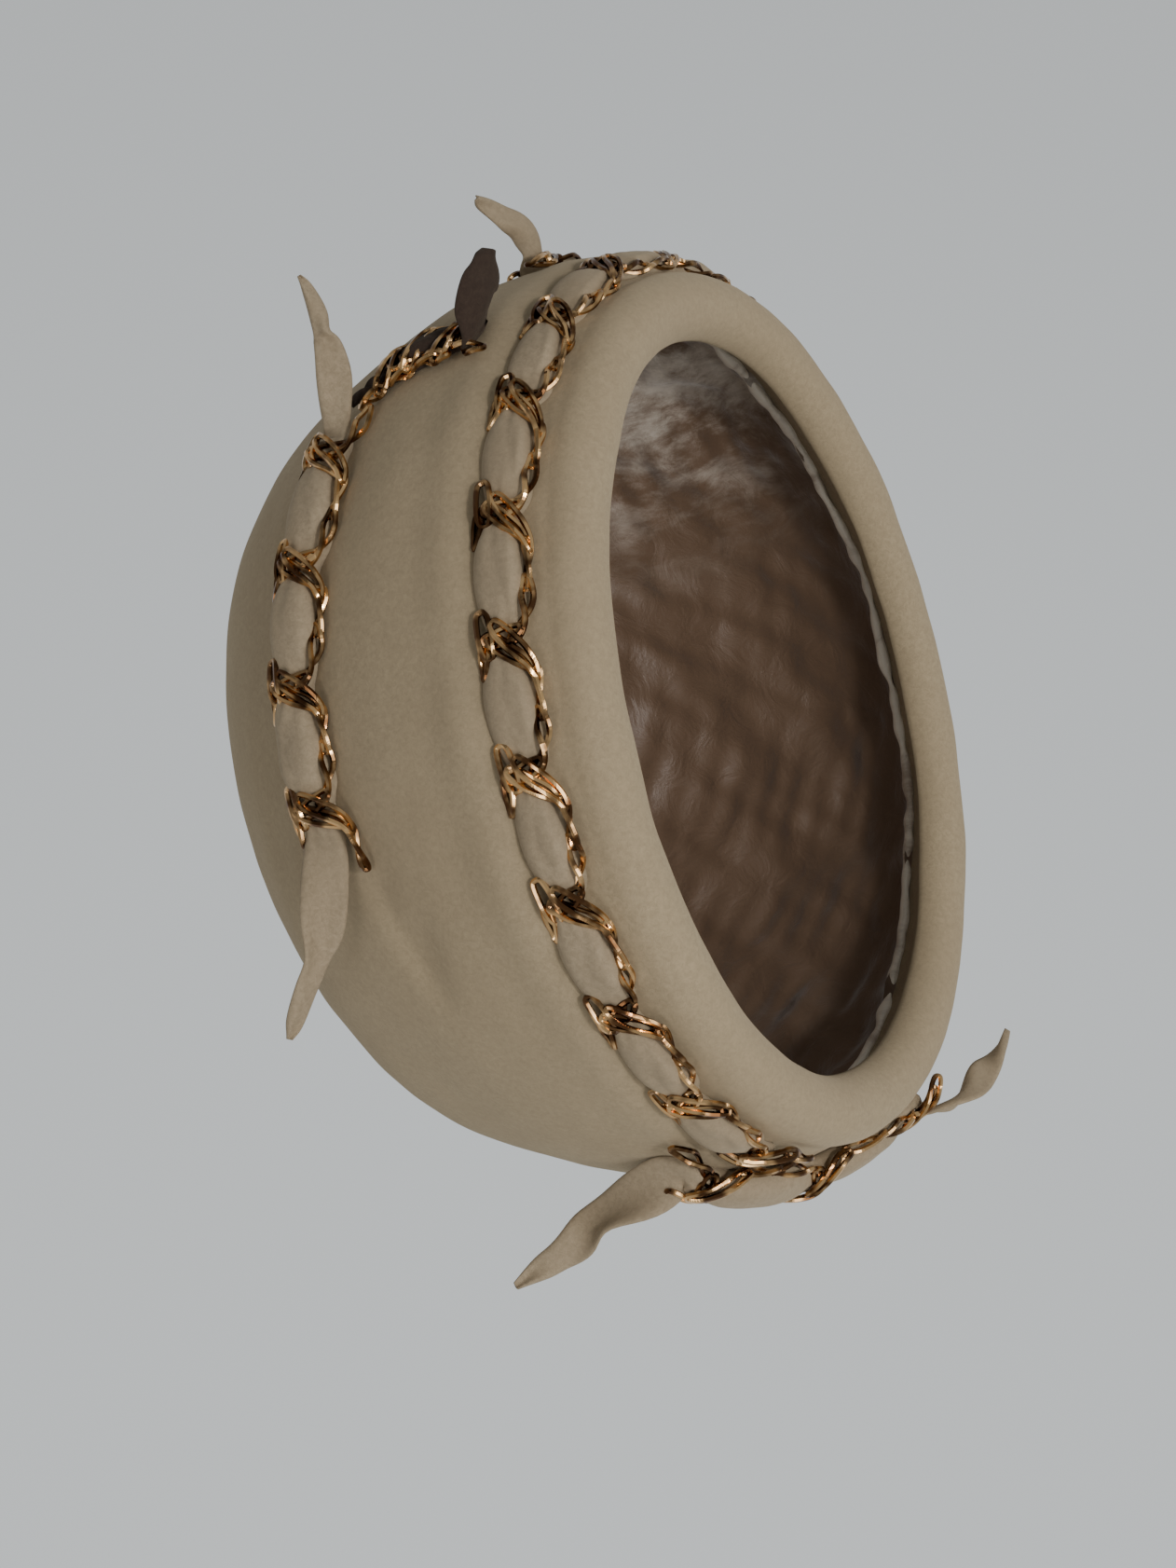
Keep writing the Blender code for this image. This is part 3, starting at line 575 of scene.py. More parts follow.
@dataclass(frozen=True)
class SatinFinish:
    """Crushed satin: a deep tone with pale, marbled patches of painted sheen, which fade in between two
    places along the hat.
    """

    name: str
    deep: Colour
    pale: Colour
    pale_from: float
    pale_to: float
    roughness: float
    # Where along the hat, in metres, the painted sheen fades in
    sheen_from: float = -0.040
    sheen_to: float = -0.115

    def material(self) -> bpy.types.Material:
        """Return the satin as a material."""
        maker = NodeMaker(self.name)
        marble = maker.noise(scale=34.0, detail=9.0, roughness=0.72, warp=0.35, stretch=(1.0, 1.6, 0.8))
        # The pale patches are painted sheen, faded in along the hat.
        patches = maker.times(maker.ramp(marble, self.pale_from, self.pale_to),
                              maker.front(self.sheen_from, self.sheen_to))
        maker.feed("Base Color", maker.blend(patches, self.deep, self.pale))
        crush = maker.bump(maker.noise(scale=95.0, detail=6.0, roughness=0.6, warp=1.0),
                           distance=0.0016, strength=0.5)
        weave = maker.noise(scale=1500.0, detail=2.0)
        maker.feed("Normal", maker.bump(weave, distance=0.0001, strength=0.3, under=crush))
        maker.shader.inputs["Roughness"].default_value = self.roughness
        maker.shader.inputs["Sheen Weight"].default_value = 0.5
        maker.shader.inputs["Sheen Roughness"].default_value = 0.4
        return maker.material


@dataclass(frozen=True)
class GoldFinish:
    """Polished gold plate, with blotches of painted dark reflection in its colour."""

    name: str
    bright: Colour
    # The darker colour is painted dark reflection
    dark_reflection: Colour
    roughness: float = 0.14

    def material(self) -> bpy.types.Material:
        """Return the plate as a material."""
        maker = NodeMaker(self.name)
        # Blotches of painted dark reflection, mixed in by noise
        reflection_share = maker.ramp(maker.noise(scale=150.0, detail=2.0), low=0.38, high=0.62)
        maker.feed("Base Color", maker.blend(reflection_share, self.bright, self.dark_reflection))
        maker.shader.inputs["Metallic"].default_value = 1.0
        maker.shader.inputs["Roughness"].default_value = self.roughness
        return maker.material


class Slot(Enum):
    """The record's material slots."""

    CROWN = "beige_felt"
    STRIP = "strip_felt"
    TAUPE = "taupe_felt"
    LINING = "satin_lining"
    EDGE = "pale_satin"
    CHAIN = "gold_chain"


FINISHES = {
    Slot.CROWN: FeltFinish("beige_felt", light=(0.354, 0.277, 0.172), dark=(0.318, 0.244, 0.150)),
    Slot.STRIP: FeltFinish("strip_felt", light=(0.345, 0.270, 0.178), dark=(0.290, 0.222, 0.142)),
    Slot.TAUPE: FeltFinish("taupe_felt", light=(0.050, 0.032, 0.023), dark=(0.032, 0.020, 0.014),
                           sheen=0.06),
    # The pale colours of both satins are painted sheen.
    Slot.LINING: SatinFinish("satin_lining", deep=(0.150, 0.092, 0.056), pale=(0.640, 0.570, 0.480),
                             pale_from=0.42, pale_to=0.68, roughness=0.48),
    Slot.EDGE: SatinFinish("pale_satin", deep=(0.34, 0.250, 0.180), pale=(0.78, 0.69, 0.56),
                           pale_from=0.30, pale_to=0.55, roughness=0.40, sheen_from=0.30, sheen_to=0.20),
    # The chain's darker colour is painted dark reflection.
    Slot.CHAIN: GoldFinish("gold_chain", bright=(0.78, 0.480, 0.220), dark_reflection=(0.12, 0.054, 0.022)),
}


# Meshes
def add_mesh(name: str, points: Array, faces: Sequence[Sequence[int]], material: bpy.types.Material,
             ) -> bpy.types.Object:
    """Add a smooth mesh.

    Args:
        name: The piece's name.
        points: Its points, three numbers each.
        faces: Its faces, as rows of point numbers.
        material: What it is made of.

    Returns:
        The new object.
    """
    mesh = bpy.data.meshes.new(name)
    mesh.from_pydata(points.tolist(), [], [tuple(face) for face in faces])
    mesh.validate()
    mesh.shade_smooth()
    mesh.materials.append(material)
    piece = bpy.data.objects.new(name, mesh)
    bpy.context.scene.collection.objects.link(piece)
    return piece


def grid_faces(rows: int, columns: int, closed: bool, loop: bool = False) -> Array:
    """Return the faces of a grid of points.

    Args:
        rows: How many rows it has.
        columns: How many points a row has.
        closed: Whether a row's last point joins its first.
        loop: Whether the last row joins the first.

    Returns:
        Four point numbers for each face.
    """
    low, left = np.meshgrid(np.arange(rows if loop else rows - 1),
                            np.arange(columns if closed else columns - 1), indexing="ij")
    high, right = (low + 1) % rows, (left + 1) % columns
    faces = np.stack([low * columns + left, low * columns + right, high * columns + right,
                      high * columns + left], axis=-1)
    return faces.reshape(-1, 4)


def fan_faces(tip: int, first: int, columns: int, turned: bool = False) -> Array:
    """Return the faces that join one point to a closed row.

    Args:
        tip: The point's number.
        first: The number of the row's first point.
        columns: How many points the row has.
        turned: Whether the faces look the other way.

    Returns:
        Three point numbers for each face.
    """
    here = np.arange(columns)
    after = (here + 1) % columns
    near, far = (here, after) if turned else (after, here)
    return np.stack([np.full(columns, tip), first + near, first + far], axis=-1)


def dress(piece: bpy.types.Object, node: str) -> bpy.types.Object:
    """Tie a piece to the frame.

    Args:
        piece: The piece, in place.
        node: The solid's node that it stands for.

    Returns:
        The same piece.
    """
    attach(piece, "root")
    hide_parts(node)
    LOG.info("%s: %d faces", piece.name, len(piece.data.polygons))
    return piece


# The crown's form
class Seats(NamedTuple):
    """Places on the crown with their directions: up the crown, round it, and straight out of it."""

    point: Array
    upward: Array
    around: Array
    out: Array


@dataclass(frozen=True)
class CrownForm:
    """The felt's outer skin as a formula, with its groove, ridge, dents and crease."""

    length: float = 0.248
    width: float = 0.210
    height: float = 0.1625
    roll: float = 0.009
    trim_rise: float = 0.019
    groove_depth: float = 0.002
    groove_spread: float = 0.008
    ridge_lift: float = 0.0018
    ridge_rise: float = 0.0125
    ridge_spread: float = 0.0075
    facing_side_height: float = 0.0155
    facing_end_height: float = 0.0225
    # How unevenly the ridge stands up, round the hat
    short_wave: float = 0.22
    short_waves_round: float = 20.0
    short_wave_start: float = 0.8
    long_wave: float = 0.16
    long_waves_round: float = 7.0
    # The crease under the right trim's end
    crease_spread: float = 0.0034
    crease_lip: float = 0.3
    crease_lip_above: float = 0.006
    crease_lip_spread: float = 0.0045
    # How soon the relief dies away towards the top of the dome
    relief_gain: float = 3.0
    last: int = len(CROWN_SECTIONS) - 1

    def sections(self, steps: Array) -> Array:
        """Return the level, length, width and shift at steps of the table."""
        mirror = CROWN_SECTIONS[-2]
        beyond = (mirror.rise, -mirror.length, -mirror.width, mirror.shift)
        return eased(np.array(CROWN_SECTIONS), steps, last=np.array(beyond))

    def steps_at(self, rises: Array) -> Array:
        """Return the steps at rises; under the roll's widest line they are angles, below zero."""
        steps = np.linspace(0.0, self.last, 800)
        levels = self.roll + self.sections(steps)[:, 0] * (self.height - self.roll)
        found = np.interp(rises, np.maximum.accumulate(levels), steps)
        return np.where(rises < self.roll, (rises - self.roll) / self.roll, found)

    def trim_shares(self, turns: Array) -> tuple[Array, Array]:
        """Return the rim trim's rise and the ridge's lift at turns, as shares."""
        marks = [level.turn for level in RIM_TRIM_LEVELS]
        spots = np.interp(turns % 360.0, marks, np.arange(len(marks)))
        low = np.minimum(spots.astype(int), len(marks) - 2)
        share = (1.0 - np.cos(np.pi * (spots - low))) / 2.0
        table = np.array(RIM_TRIM_LEVELS)
        mixed = table[low, 1:] + (table[low + 1, 1:] - table[low, 1:]) * share[..., None]
        return mixed[..., 0], mixed[..., 1]

    def relief(self, turns: Array, rises: Array) -> Array:
        """Return how far the felt stands out from the plain form."""
        trim, ridge = self.trim_shares(turns)
        above = rises - self.trim_rise * trim
        out = -self.groove_depth * swell(above, self.groove_spread)
        angle = np.radians(turns)
        wave = (1.0 + self.short_wave * np.sin(angle * self.short_waves_round + self.short_wave_start)
                + self.long_wave * np.sin(angle * self.long_waves_round))
        out = out + self.ridge_lift * ridge * wave * swell(above - self.ridge_rise, self.ridge_spread)
        for dent in CROWN_DENTS:
            aside = swell(turn_gap(turns, dent.turn), dent.turn_spread)
            out = out - dent.depth * MM * aside * swell(rises / self.height - dent.rise, dent.rise_spread)
        return out - self.crease(turns, rises)

    def crease(self, turns: Array, rises: Array) -> Array:
        """Return the depth of the crease, with the slight lip over it."""
        line = np.array(RIGHT_CREASE)[::-1]
        middle = np.interp(turns % 360.0, line[:, 0], line[:, 1])
        depth = np.interp(turns % 360.0, line[:, 0], line[:, 2], left=0.0, right=0.0)
        above = rises - middle
        lip = self.crease_lip * swell(above - self.crease_lip_above, self.crease_lip_spread)
        return depth * MM * (swell(above, self.crease_spread) - lip)

    def skin(self, turns: Array, steps: Array) -> Array:
        """Return points of the skin; steps under zero run round the rim's roll, as angles."""
        turns, steps = np.broadcast_arrays(turns, steps)
        table = self.sections(np.maximum(steps, 0.0))
        level, length, width, shift = (table[..., k] for k in range(4))
        rises = self.roll + level * (self.height - self.roll)
        out = self.relief(turns, rises) * np.minimum(1.0, np.abs(width) * self.relief_gain)
        under = np.minimum(steps, 0.0)
        out = out - self.roll * (1.0 - np.cos(under))
        rises = np.where(steps < 0.0, self.roll * (1.0 + np.sin(under)), rises)
        angle = np.radians(turns)
        return np.stack([
            (self.width / 2 * width + out) * np.cos(angle),
            self.length * shift + (self.length / 2 * length + out) * np.sin(angle), rises], axis=-1)

    def degree(self, turns: Array, steps: Array) -> Array:
        """Return the way round the skin over one degree of turn."""
        return self.skin(turns + 0.5, steps) - self.skin(turns - 0.5, steps)

    def seats(self, turns: Array, steps: Array) -> Seats:
        """Return the places at turns and steps."""
        around = unit(self.degree(turns, steps))
        upward = unit(self.skin(turns, np.minimum(steps + 0.02, self.last)) - self.skin(turns, steps - 0.02))
        return Seats(self.skin(turns, steps), upward, around, unit(np.cross(around, upward)))

    def inset(self, turns: Array, rises: Array, inset: float | Array) -> Array:
        """Return points inside the crown, by an inset from its plain outer form."""
        turns, rises, inset = np.broadcast_arrays(turns, rises, inset)
        table = self.sections(self.steps_at(np.maximum(rises, self.roll)))
        angle = np.radians(turns)
        return np.stack([
            (self.width / 2 * table[..., 2] - inset) * np.cos(angle),
            self.length * table[..., 3] + (self.length / 2 * table[..., 1] - inset) * np.sin(angle),
            rises], axis=-1)

    def facing_height(self, turns: Array) -> Array:
        """Return the height of the facing's inner edge."""
        ends = np.sin(np.radians(turns)) ** 2
        return self.facing_side_height + (self.facing_end_height - self.facing_side_height) * ends


FORM = CrownForm()


# Pieces
@dataclass
class FeltCrown:
    """The felt dome with its rolled, padded rim and the facing turned up inside."""

    form: CrownForm
    cut_length: float = 0.50
    columns: int = 420
    dome_rows: int = 170
    roll_rows: int = 22
    facing_rows: int = 14
    # How the rows close up towards the top, and the facing's own form
    crowding: float = 0.85
    facing_inset: float = 0.018
    facing_hollow: float = 0.0012
    facing_turn: float = 6.0
    hem_inset: float = 0.0083
    hem_bevel: float = 0.0032
    hem_lip: float = 0.0004
    tuck_rise: float = 0.0060
    tuck_inset: float = 0.0045
    lumps: tuple[Wrinkle, ...] = (Wrinkle(0.032, 0.00022, 3), Wrinkle(0.012, 0.00008, 4))

    def build(self) -> bpy.types.Object:
        """Build the felt as one sheet from the top of the dome to the hem inside.

        Returns:
            The dressed piece.
        """
        turns = np.arange(self.columns) * 360.0 / self.columns
        dome = self.form.last * (1.0 - np.linspace(0.0, 1.0, self.dome_rows + 1)[1:] ** self.crowding)
        roll = -math.pi * np.linspace(0.0, 1.0, self.roll_rows + 1)[1:]
        steps = np.concatenate([dome, roll])
        skin = self.form.skin(turns[None, :], steps[:, None])
        rows = np.concatenate([skin, self.facing(turns, skin[-1])])
        rows = rows + self.outward(rows) * wrinkled(rows, self.lumps)[..., None]
        apex = rows[0].mean(axis=0)
        points = np.vstack([rows.reshape(-1, 3), apex[None, :]])
        faces = [*grid_faces(len(rows), self.columns, closed=True),
                 *fan_faces(len(points) - 1, 0, self.columns)]
        piece = add_mesh("felt_crown", points, faces, FINISHES[Slot.CROWN].material())
        return dress(piece, "crown")

    def facing(self, turns: Array, first: Array) -> Array:
        """Return the facing's rows, from the roll's end up to the hem behind the lining's edge."""
        top = self.form.facing_height(turns)
        rows = []
        for part in np.linspace(0.0, 1.0, self.facing_rows + 1)[1:]:
            rise = self.form.roll + (top - self.form.roll) * part
            reach = self.hem_inset + self.hem_bevel - self.facing_inset
            inset = self.facing_inset + reach * part - self.facing_hollow * math.sin(math.pi * part)
            fine = self.form.inset(turns, rise, inset)
            weight = math.exp(-part * self.facing_turn)
            start = first.copy()
            start[:, 2] = rise
            rows.append(fine * (1.0 - weight) + start * weight)
        rows.append(self.form.inset(turns, top + self.hem_lip, self.hem_inset))
        rows.append(self.form.inset(turns, top + self.tuck_rise, self.tuck_inset))
        return np.array(rows)

    @staticmethod
    def outward(rows: Array) -> Array:
        """Return the directions straight out of rows of points."""
        around = np.roll(rows, -1, axis=1) - np.roll(rows, 1, axis=1)
        down = np.gradient(rows, axis=0)
        return unit(np.cross(down, around))


@dataclass
class SatinLining:
    """The loose satin lining, pleated into the hem."""

    form: CrownForm
    cut_length: float = 0.57
    columns: int = 380
    rows: int = 120
    stand_off: float = 0.0045
    slack: float = 0.0035
    # How far it hangs in at the hem, and how that fades upwards
    slack_fade: float = 7.0
    hem_slack: float = 0.0032
    hem_fade: float = 26.0
    hem_rise: float = 0.0008
    top_gap: float = 0.0035
    crowding: float = 1.15
    crush_growth: float = 9.0
    crush_offset: float = 0.0006
    tuck_drop: float = 0.0045
    tuck_inset: float = 0.0085
    # How the pleats lean, in degrees, and how they fade upwards
    pleat_lean: float = 6.0
    pleat_sharpness: float = 1.3
    pleat_fade: float = 4.5
    crush: tuple[Wrinkle, ...] = (Wrinkle(0.020, 0.0011, 11), Wrinkle(0.009, 0.0005, 12))

    def build(self) -> bpy.types.Object:
        """Build the lining from the hem up to the top of the dome.

        Returns:
            The dressed piece.
        """
        turns = np.arange(self.columns) * 360.0 / self.columns
        hem = self.form.facing_height(turns) + self.hem_rise
        shares = np.linspace(0.0, 1.0, self.rows)
        top = self.form.height - self.top_gap
        rises = hem[None, :] + (top - hem[None, :]) * (shares[:, None] ** self.crowding)
        inset = self.stand_off + self.slack * np.exp(-shares * self.slack_fade)[:, None]
        inset = inset + self.hem_slack * np.exp(-shares * self.hem_fade)[:, None]
        folds = self.folds(turns, shares)
        base = self.form.inset(turns[None, :], np.minimum(rises, top), inset + folds)
        fade = np.minimum(1.0, shares * self.crush_growth)[:, None]
        push = wrinkled(base, self.crush) * fade + self.crush_offset
        base = base + self.inward(base) * push[..., None]
        apex = base[-1].mean(axis=0)
        skirt = self.form.inset(turns, hem - self.tuck_drop, self.tuck_inset)
        rows = np.concatenate([skirt[None], base])
        points = np.vstack([rows.reshape(-1, 3), apex[None, :]])
        last = (len(rows) - 1) * self.columns
        faces = [*grid_faces(len(rows), self.columns, closed=True),
                 *fan_faces(len(points) - 1, last, self.columns, turned=True)]
        piece = add_mesh("satin_lining", points, faces, FINISHES[Slot.LINING].material())
        return dress(piece, "lining")

    def folds(self, turns: Array, shares: Array) -> Array:
        """Return how deeply the pleats stand in, row by row."""
        deep = np.zeros((len(shares), len(turns)))
        fade = np.exp(-shares * self.pleat_fade)[:, None]
        for pleat in LINING_PLEATS:
            lean = self.pleat_lean * math.sin(pleat.turn) * shares[:, None]
            aside = turn_gap(turns[None, :] - pleat.turn, lean)
            deep += pleat.depth * MM * np.exp(-np.abs(aside / pleat.spread) ** self.pleat_sharpness) * fade
        return deep

    @staticmethod
    def inward(rows: Array) -> Array:
        """Return the level directions from rows of points towards the hat's middle."""
        ways = -rows.copy()
        ways[..., 2] = 0.0
        return unit(ways)


@dataclass
class LiningEdge:
    """The thin, wrinkled satin fold between the facing and the lining."""

    form: CrownForm
    columns: int = 900
    sides: int = 12
    radius: float = 0.0011
    stand_off: float = 0.0126
    lift: float = 0.35
    side_wander: float = 0.6
    width_share: float = 1.1
    height_share: float = 1.25
    wander: tuple[Wrinkle, ...] = (Wrinkle(0.022, 0.0004, 21), Wrinkle(0.007, 0.0002, 22))
    puckers: tuple[Wrinkle, ...] = (Wrinkle(0.006, 0.25, 23),)

    def build(self) -> bpy.types.Object:
        """Build the fold as one closed roll with wrinkles.

        Returns:
            The dressed piece.
        """
        turns = np.arange(self.columns) * 360.0 / self.columns
        angle = np.radians(turns)
        ring = self.form.inset(turns, self.form.facing_height(turns), self.stand_off)
        wander = wrinkled(ring, self.wander)
        rise = self.form.facing_height(turns) + self.radius * self.lift + wander
        middle = self.form.inset(turns, rise, self.stand_off + wander * self.side_wander)
        inward = np.stack([-np.cos(angle), -np.sin(angle), 0.0 * angle], axis=-1)
        size = self.radius * (1.0 + wrinkled(ring, self.puckers))
        rows = []
        for side in range(self.sides):
            sweep = 2 * math.pi * side / self.sides
            wide = size * math.cos(sweep) * self.width_share
            tall = size * math.sin(sweep) * self.height_share
            rows.append(middle + inward * wide[:, None] + np.array([0.0, 0.0, 1.0]) * tall[:, None])
        points = np.stack(rows, axis=1)
        faces = grid_faces(self.columns, self.sides, closed=True, loop=True)
        piece = add_mesh("satin_edge", points.reshape(-1, 3), faces, FINISHES[Slot.EDGE].material())
        return dress(piece, "lining_edge")


class Frames(NamedTuple):
    """Places on a trim: along it, across to the rim's side, and out from the crown."""

    point: Array
    ahead: Array
    across: Array
    out: Array


class TrimRoute:
    """A trim's middle line on the crown, measured by its own length."""

    reach: float = 0.0037
    overrun: float = 0.03
    half_reach: float = 0.0062
    slope_span: int = 3
    trim_samples: int = 100
    rim_samples: int = 400

    def __init__(self, form: CrownForm, turns: Array, rises: Array, lean: float = 0.0) -> None:
        """Take the line's places in the trim's running order, and run on straight past both ends.

        Args:
            form: The crown's form.
            turns: The places' turns, in degrees.
            rises: The places' heights, in metres.
            lean: How steeply the trim stands up on its rim's side.
        """
        self.form = form
        self.lean = lean
        points = form.skin(turns, form.steps_at(rises))
        strides = np.linalg.norm(np.diff(points, axis=0), axis=1)
        marks = np.concatenate([[0.0], np.cumsum(strides)])
        self.length = float(marks[-1])
        ahead, behind = self.slope_span, -1 - self.slope_span
        head = self.overrun / marks[ahead]
        tail = self.overrun / (marks[-1] - marks[behind])

        def run_on(values: Array) -> Array:
            """Return values with one more, run on straight, at each end."""
            return np.concatenate([[values[0] + (values[0] - values[ahead]) * head], values,
                                   [values[-1] + (values[-1] - values[behind]) * tail]])

        self.marks = np.concatenate([[-self.overrun], marks, [self.length + self.overrun]])
        self.turns = run_on(turns)
        self.rises = run_on(rises)

    @classmethod
    def through(cls, form: CrownForm, stations: tuple[Station, ...], lean: float = 0.0) -> "TrimRoute":
        """Return a route that passes smoothly through stations.

        Args:
            form: The crown's form.
            stations: The places that it passes, in order.
            lean: How steeply the trim stands up on its rim's side.

        Returns:
            The route.
        """
        steps = np.linspace(0.0, len(stations) - 1, cls.trim_samples)
        places = eased(np.array(stations), steps)
        if places[0, 0] < places[-1, 0]:
            places = places[::-1]
        return cls(form, places[:, 0], places[:, 1] * form.height, lean)

    @classmethod
    def round_rim(cls, form: CrownForm, start: float = 426.0, end: float = 112.5) -> "TrimRoute":
        """Return the rim trim's route, from the left of the nape round by the front."""
        turns = np.linspace(start, end, cls.rim_samples)
        return cls(form, turns, form.trim_rise * form.trim_shares(turns)[0])

    def frames(self, along: Array, aside: Array) -> Frames:
        """Return the frames at distances along the line and aside from it over the felt.

        Args:
            along: Distances from the line's start, in metres.
            aside: Distances towards the rim, in metres.

        Returns:
            The frames, one for each pair.
        """
        along, aside = np.broadcast_arrays(np.asarray(along, float), np.asarray(aside, float))
        turns, rises = self.places(along)
        seats = self.form.seats(turns, self.form.steps_at(rises))
        fore = self.spot(along + self.reach)
        back = self.spot(along - self.reach)
        ahead = fore - back
        ahead = unit(ahead - seats.out * dot(ahead, seats.out))
        across = unit(np.cross(seats.out, ahead))
        steps = self.form.steps_at(rises)
        degree = np.linalg.norm(self.form.degree(turns, steps), axis=-1)
        climb = np.where(rises > self.form.roll, seats.upward[..., 2], 1.0)
        turns = turns + aside * dot(across, seats.around)[..., 0] / degree
        rises = rises + aside * dot(across, seats.upward)[..., 0] * climb
        moved = self.form.seats(turns, self.form.steps_at(rises))
        return Frames(moved.point, ahead, unit(np.cross(moved.out, ahead)), moved.out)

    def leaning(self, along: Array, aside: Array) -> Frames:
        """Return the frames on the trim's own leaning underside, with its own way out.

        Args:
            along: Distances from the line's start, in metres.
            aside: Distances towards the rim, in metres.

        Returns:
            The frames, one for each pair.
        """
        flat = self.frames(along, aside)
        aside = np.broadcast_arrays(np.asarray(along, float), np.asarray(aside, float))[1]
        raised = self.lean * np.clip(self.half_reach - aside, 0.0, 2 * self.half_reach)
        out = unit(flat.out + flat.across * self.lean)
        point = flat.point + flat.out * raised[..., None]
        return Frames(point, flat.ahead, unit(np.cross(out, flat.ahead)), out)

    def places(self, along: Array) -> tuple[Array, Array]:
        """Return the turns and rises at distances along the line."""
        return np.interp(along, self.marks, self.turns), np.interp(along, self.marks, self.rises)

    def spot(self, along: Array) -> Array:
        """Return the points at distances along the line."""
        turns, rises = self.places(along)
        return self.form.skin(turns, self.form.steps_at(rises))


@dataclass
class Tail:
    """A pointed end of a strip that stands free: its length and its shape's table."""

    length: float
    shape: tuple[TailPoint, ...]
    cup: float = 0.28
    wave: float = 0.0006


@dataclass
class FeltStrip:
    """A strip of felt, puffed between its knots, with free ends."""

    name: str
    route: TrimRoute
    knots: Array
    slot: Slot
    node: str
    start_tail: Tail | None = None
    end_tail: Tail | None = None
    half_width: float = 0.0062
    height: float = 0.0040
    thickness: float = 0.0018
    undercut: float = 0.80
    shift: float = -0.0008
    cell_rows: int = 26
    tail_rows: int = 34
    top_points: int = 21
    under_points: int = 9
    spare_rows: int = 8
    end_run: float = 0.0045
    sunk: float = 0.0001
    # The puffs' roundness, the fold along them, and the gathers at the knots
    roundness: float = 1.9
    fullness: float = 0.66
    fold_place: float = 0.10
    fold_wander: float = 0.42
    fold_turns: float = 190.0
    fold_depth: float = 0.00030
    fold_spread: float = 0.26
    gather_reach: float = 0.0055
    gather_height: float = 0.00035
    gather_folds: float = 9.0
    gather_turns: float = 300.0
    # The felt's own edge and unevenness
    lip_share: float = 0.55
    lumps: float = 0.00022
    lump_size: float = 0.008
    # The tails: how they leave the strip, and how they thin, cup and wave
    root_half: float = 0.0055
    root_lift: float = 0.015
    root_twist: float = 0.3
    least_half: float = 0.0004
    rim_thinning: float = 0.75
    rim_sharpness: int = 6
    cup_waves: float = 2.4
    cup_turns: float = 0.33
    root_blend: float = 1.8
    seed: int = 5

    def build(self) -> bpy.types.Object:
        """Build the strip and its tails as one closed body.

        Returns:
            The dressed piece.
        """
        body = self.body_rows()
        rows = [body]
        if self.start_tail:
            start = self.knots[0] - self.end_run
            rows.insert(0, self.tail_rows_of(self.start_tail, body[0], start, -1.0)[::-1])
        if self.end_tail:
            end = self.knots[-1] + self.end_run
            rows.append(self.tail_rows_of(self.end_tail, body[-1], end, 1.0))
        grid = self.soften(np.concatenate(rows))
        rows_count, count = grid.shape[:2]
        points = np.vstack([grid.reshape(-1, 3), grid[0].mean(axis=0)[None], grid[-1].mean(axis=0)[None]])
        faces = [*grid_faces(rows_count, count, closed=True),
                 *fan_faces(len(points) - 2, 0, count),
                 *fan_faces(len(points) - 1, (rows_count - 1) * count, count, turned=True)]
        piece = add_mesh(self.name, points, faces, FINISHES[self.slot].material())
        return dress(piece, self.node)

    def outline(self) -> tuple[Array, Array]:
        """Return a cross-section's places across, from -1 to 1, and whether each lies on the top."""
        top = np.linspace(-1.0, 1.0, self.top_points)
        under = np.linspace(1.0, -1.0, self.under_points)
        return np.concatenate([top, under]), np.concatenate([np.ones(len(top)), np.zeros(len(under))])

    def puffs(self) -> tuple[Array, Array]:
        """Return places along the strip and its shares there, each puff a little different."""
        chance = np.random.default_rng(self.seed)
        shape = np.array(PUFF_SHAPE)
        marks, tables = [], []
        for first, after in zip(self.knots, self.knots[1:]):
            swing = chance.uniform(0.90, 1.08, size=4)
            for index, row in enumerate(shape):
                marks.append(first + (after - first) * row[0])
                tables.append(row[1:] * (swing if index else 1.0))
        start, end = self.knots[0] - self.end_run, self.knots[-1] + self.end_run
        return (np.array([start, *marks, self.knots[-1], end]),
                np.array([shape[1, 1:], *tables, shape[0, 1:], shape[1, 1:]]))

    def body_rows(self) -> Array:
        """Return the cross-sections of the part that lies on the crown."""
        across, on_top = self.outline()
        marks, tables = self.puffs()
        along = np.linspace(marks[0], marks[-1], self.cell_rows * (len(self.knots) - 1) + self.spare_rows)
        spots = np.interp(along, marks, np.arange(len(marks)))
        half, lip, height, crest = (column[:, None] for column in eased(tables, spots).T)
        aside = np.where(across[None, :] < 0, across[None, :] * half, across[None, :] * lip)
        spread = np.clip(aside / half, -1.0, 1.0)
        crested = (spread - crest) / np.where(spread > crest, 1.0 - crest, 1.0 + crest)
        pillow = (1.0 - np.abs(crested) ** self.roundness) ** self.fullness
        wander = self.fold_wander * np.sin(along[:, None] * self.fold_turns + self.seed) * height
        fold = self.fold_place + wander
        groove = self.fold_depth * height * swell(spread - fold, self.fold_spread)
        knot_gap = np.abs(along[:, None] - self.knots[None, :]).min(axis=1)
        gathers = self.gather_height * swell(knot_gap, self.gather_reach)[:, None] * np.cos(
            across[None, :] * self.gather_folds + np.sin(along[:, None] * self.gather_turns))
        inner = 1.0 - np.abs(across[None, :]) ** self.rim_sharpness
        edge = self.thickness * (self.lip_share + (1.0 - self.lip_share) * inner)
        top = edge + self.height * height * pillow + gathers - groove
        aside = aside * np.where(on_top[None, :] > 0, 1.0, self.undercut) * self.half_width + self.shift
        flat = self.route.frames(along[:, None], aside)
        frames = self.route.leaning(along[:, None], aside)
        top = top + ripple(flat.point, self.lump_size, self.seed) * self.lumps
        upper = frames.point + frames.out * (top - self.sunk)[..., None]
        lower = flat.point - flat.out * self.sunk
        return np.where(on_top[None, :, None] > 0, upper, lower)

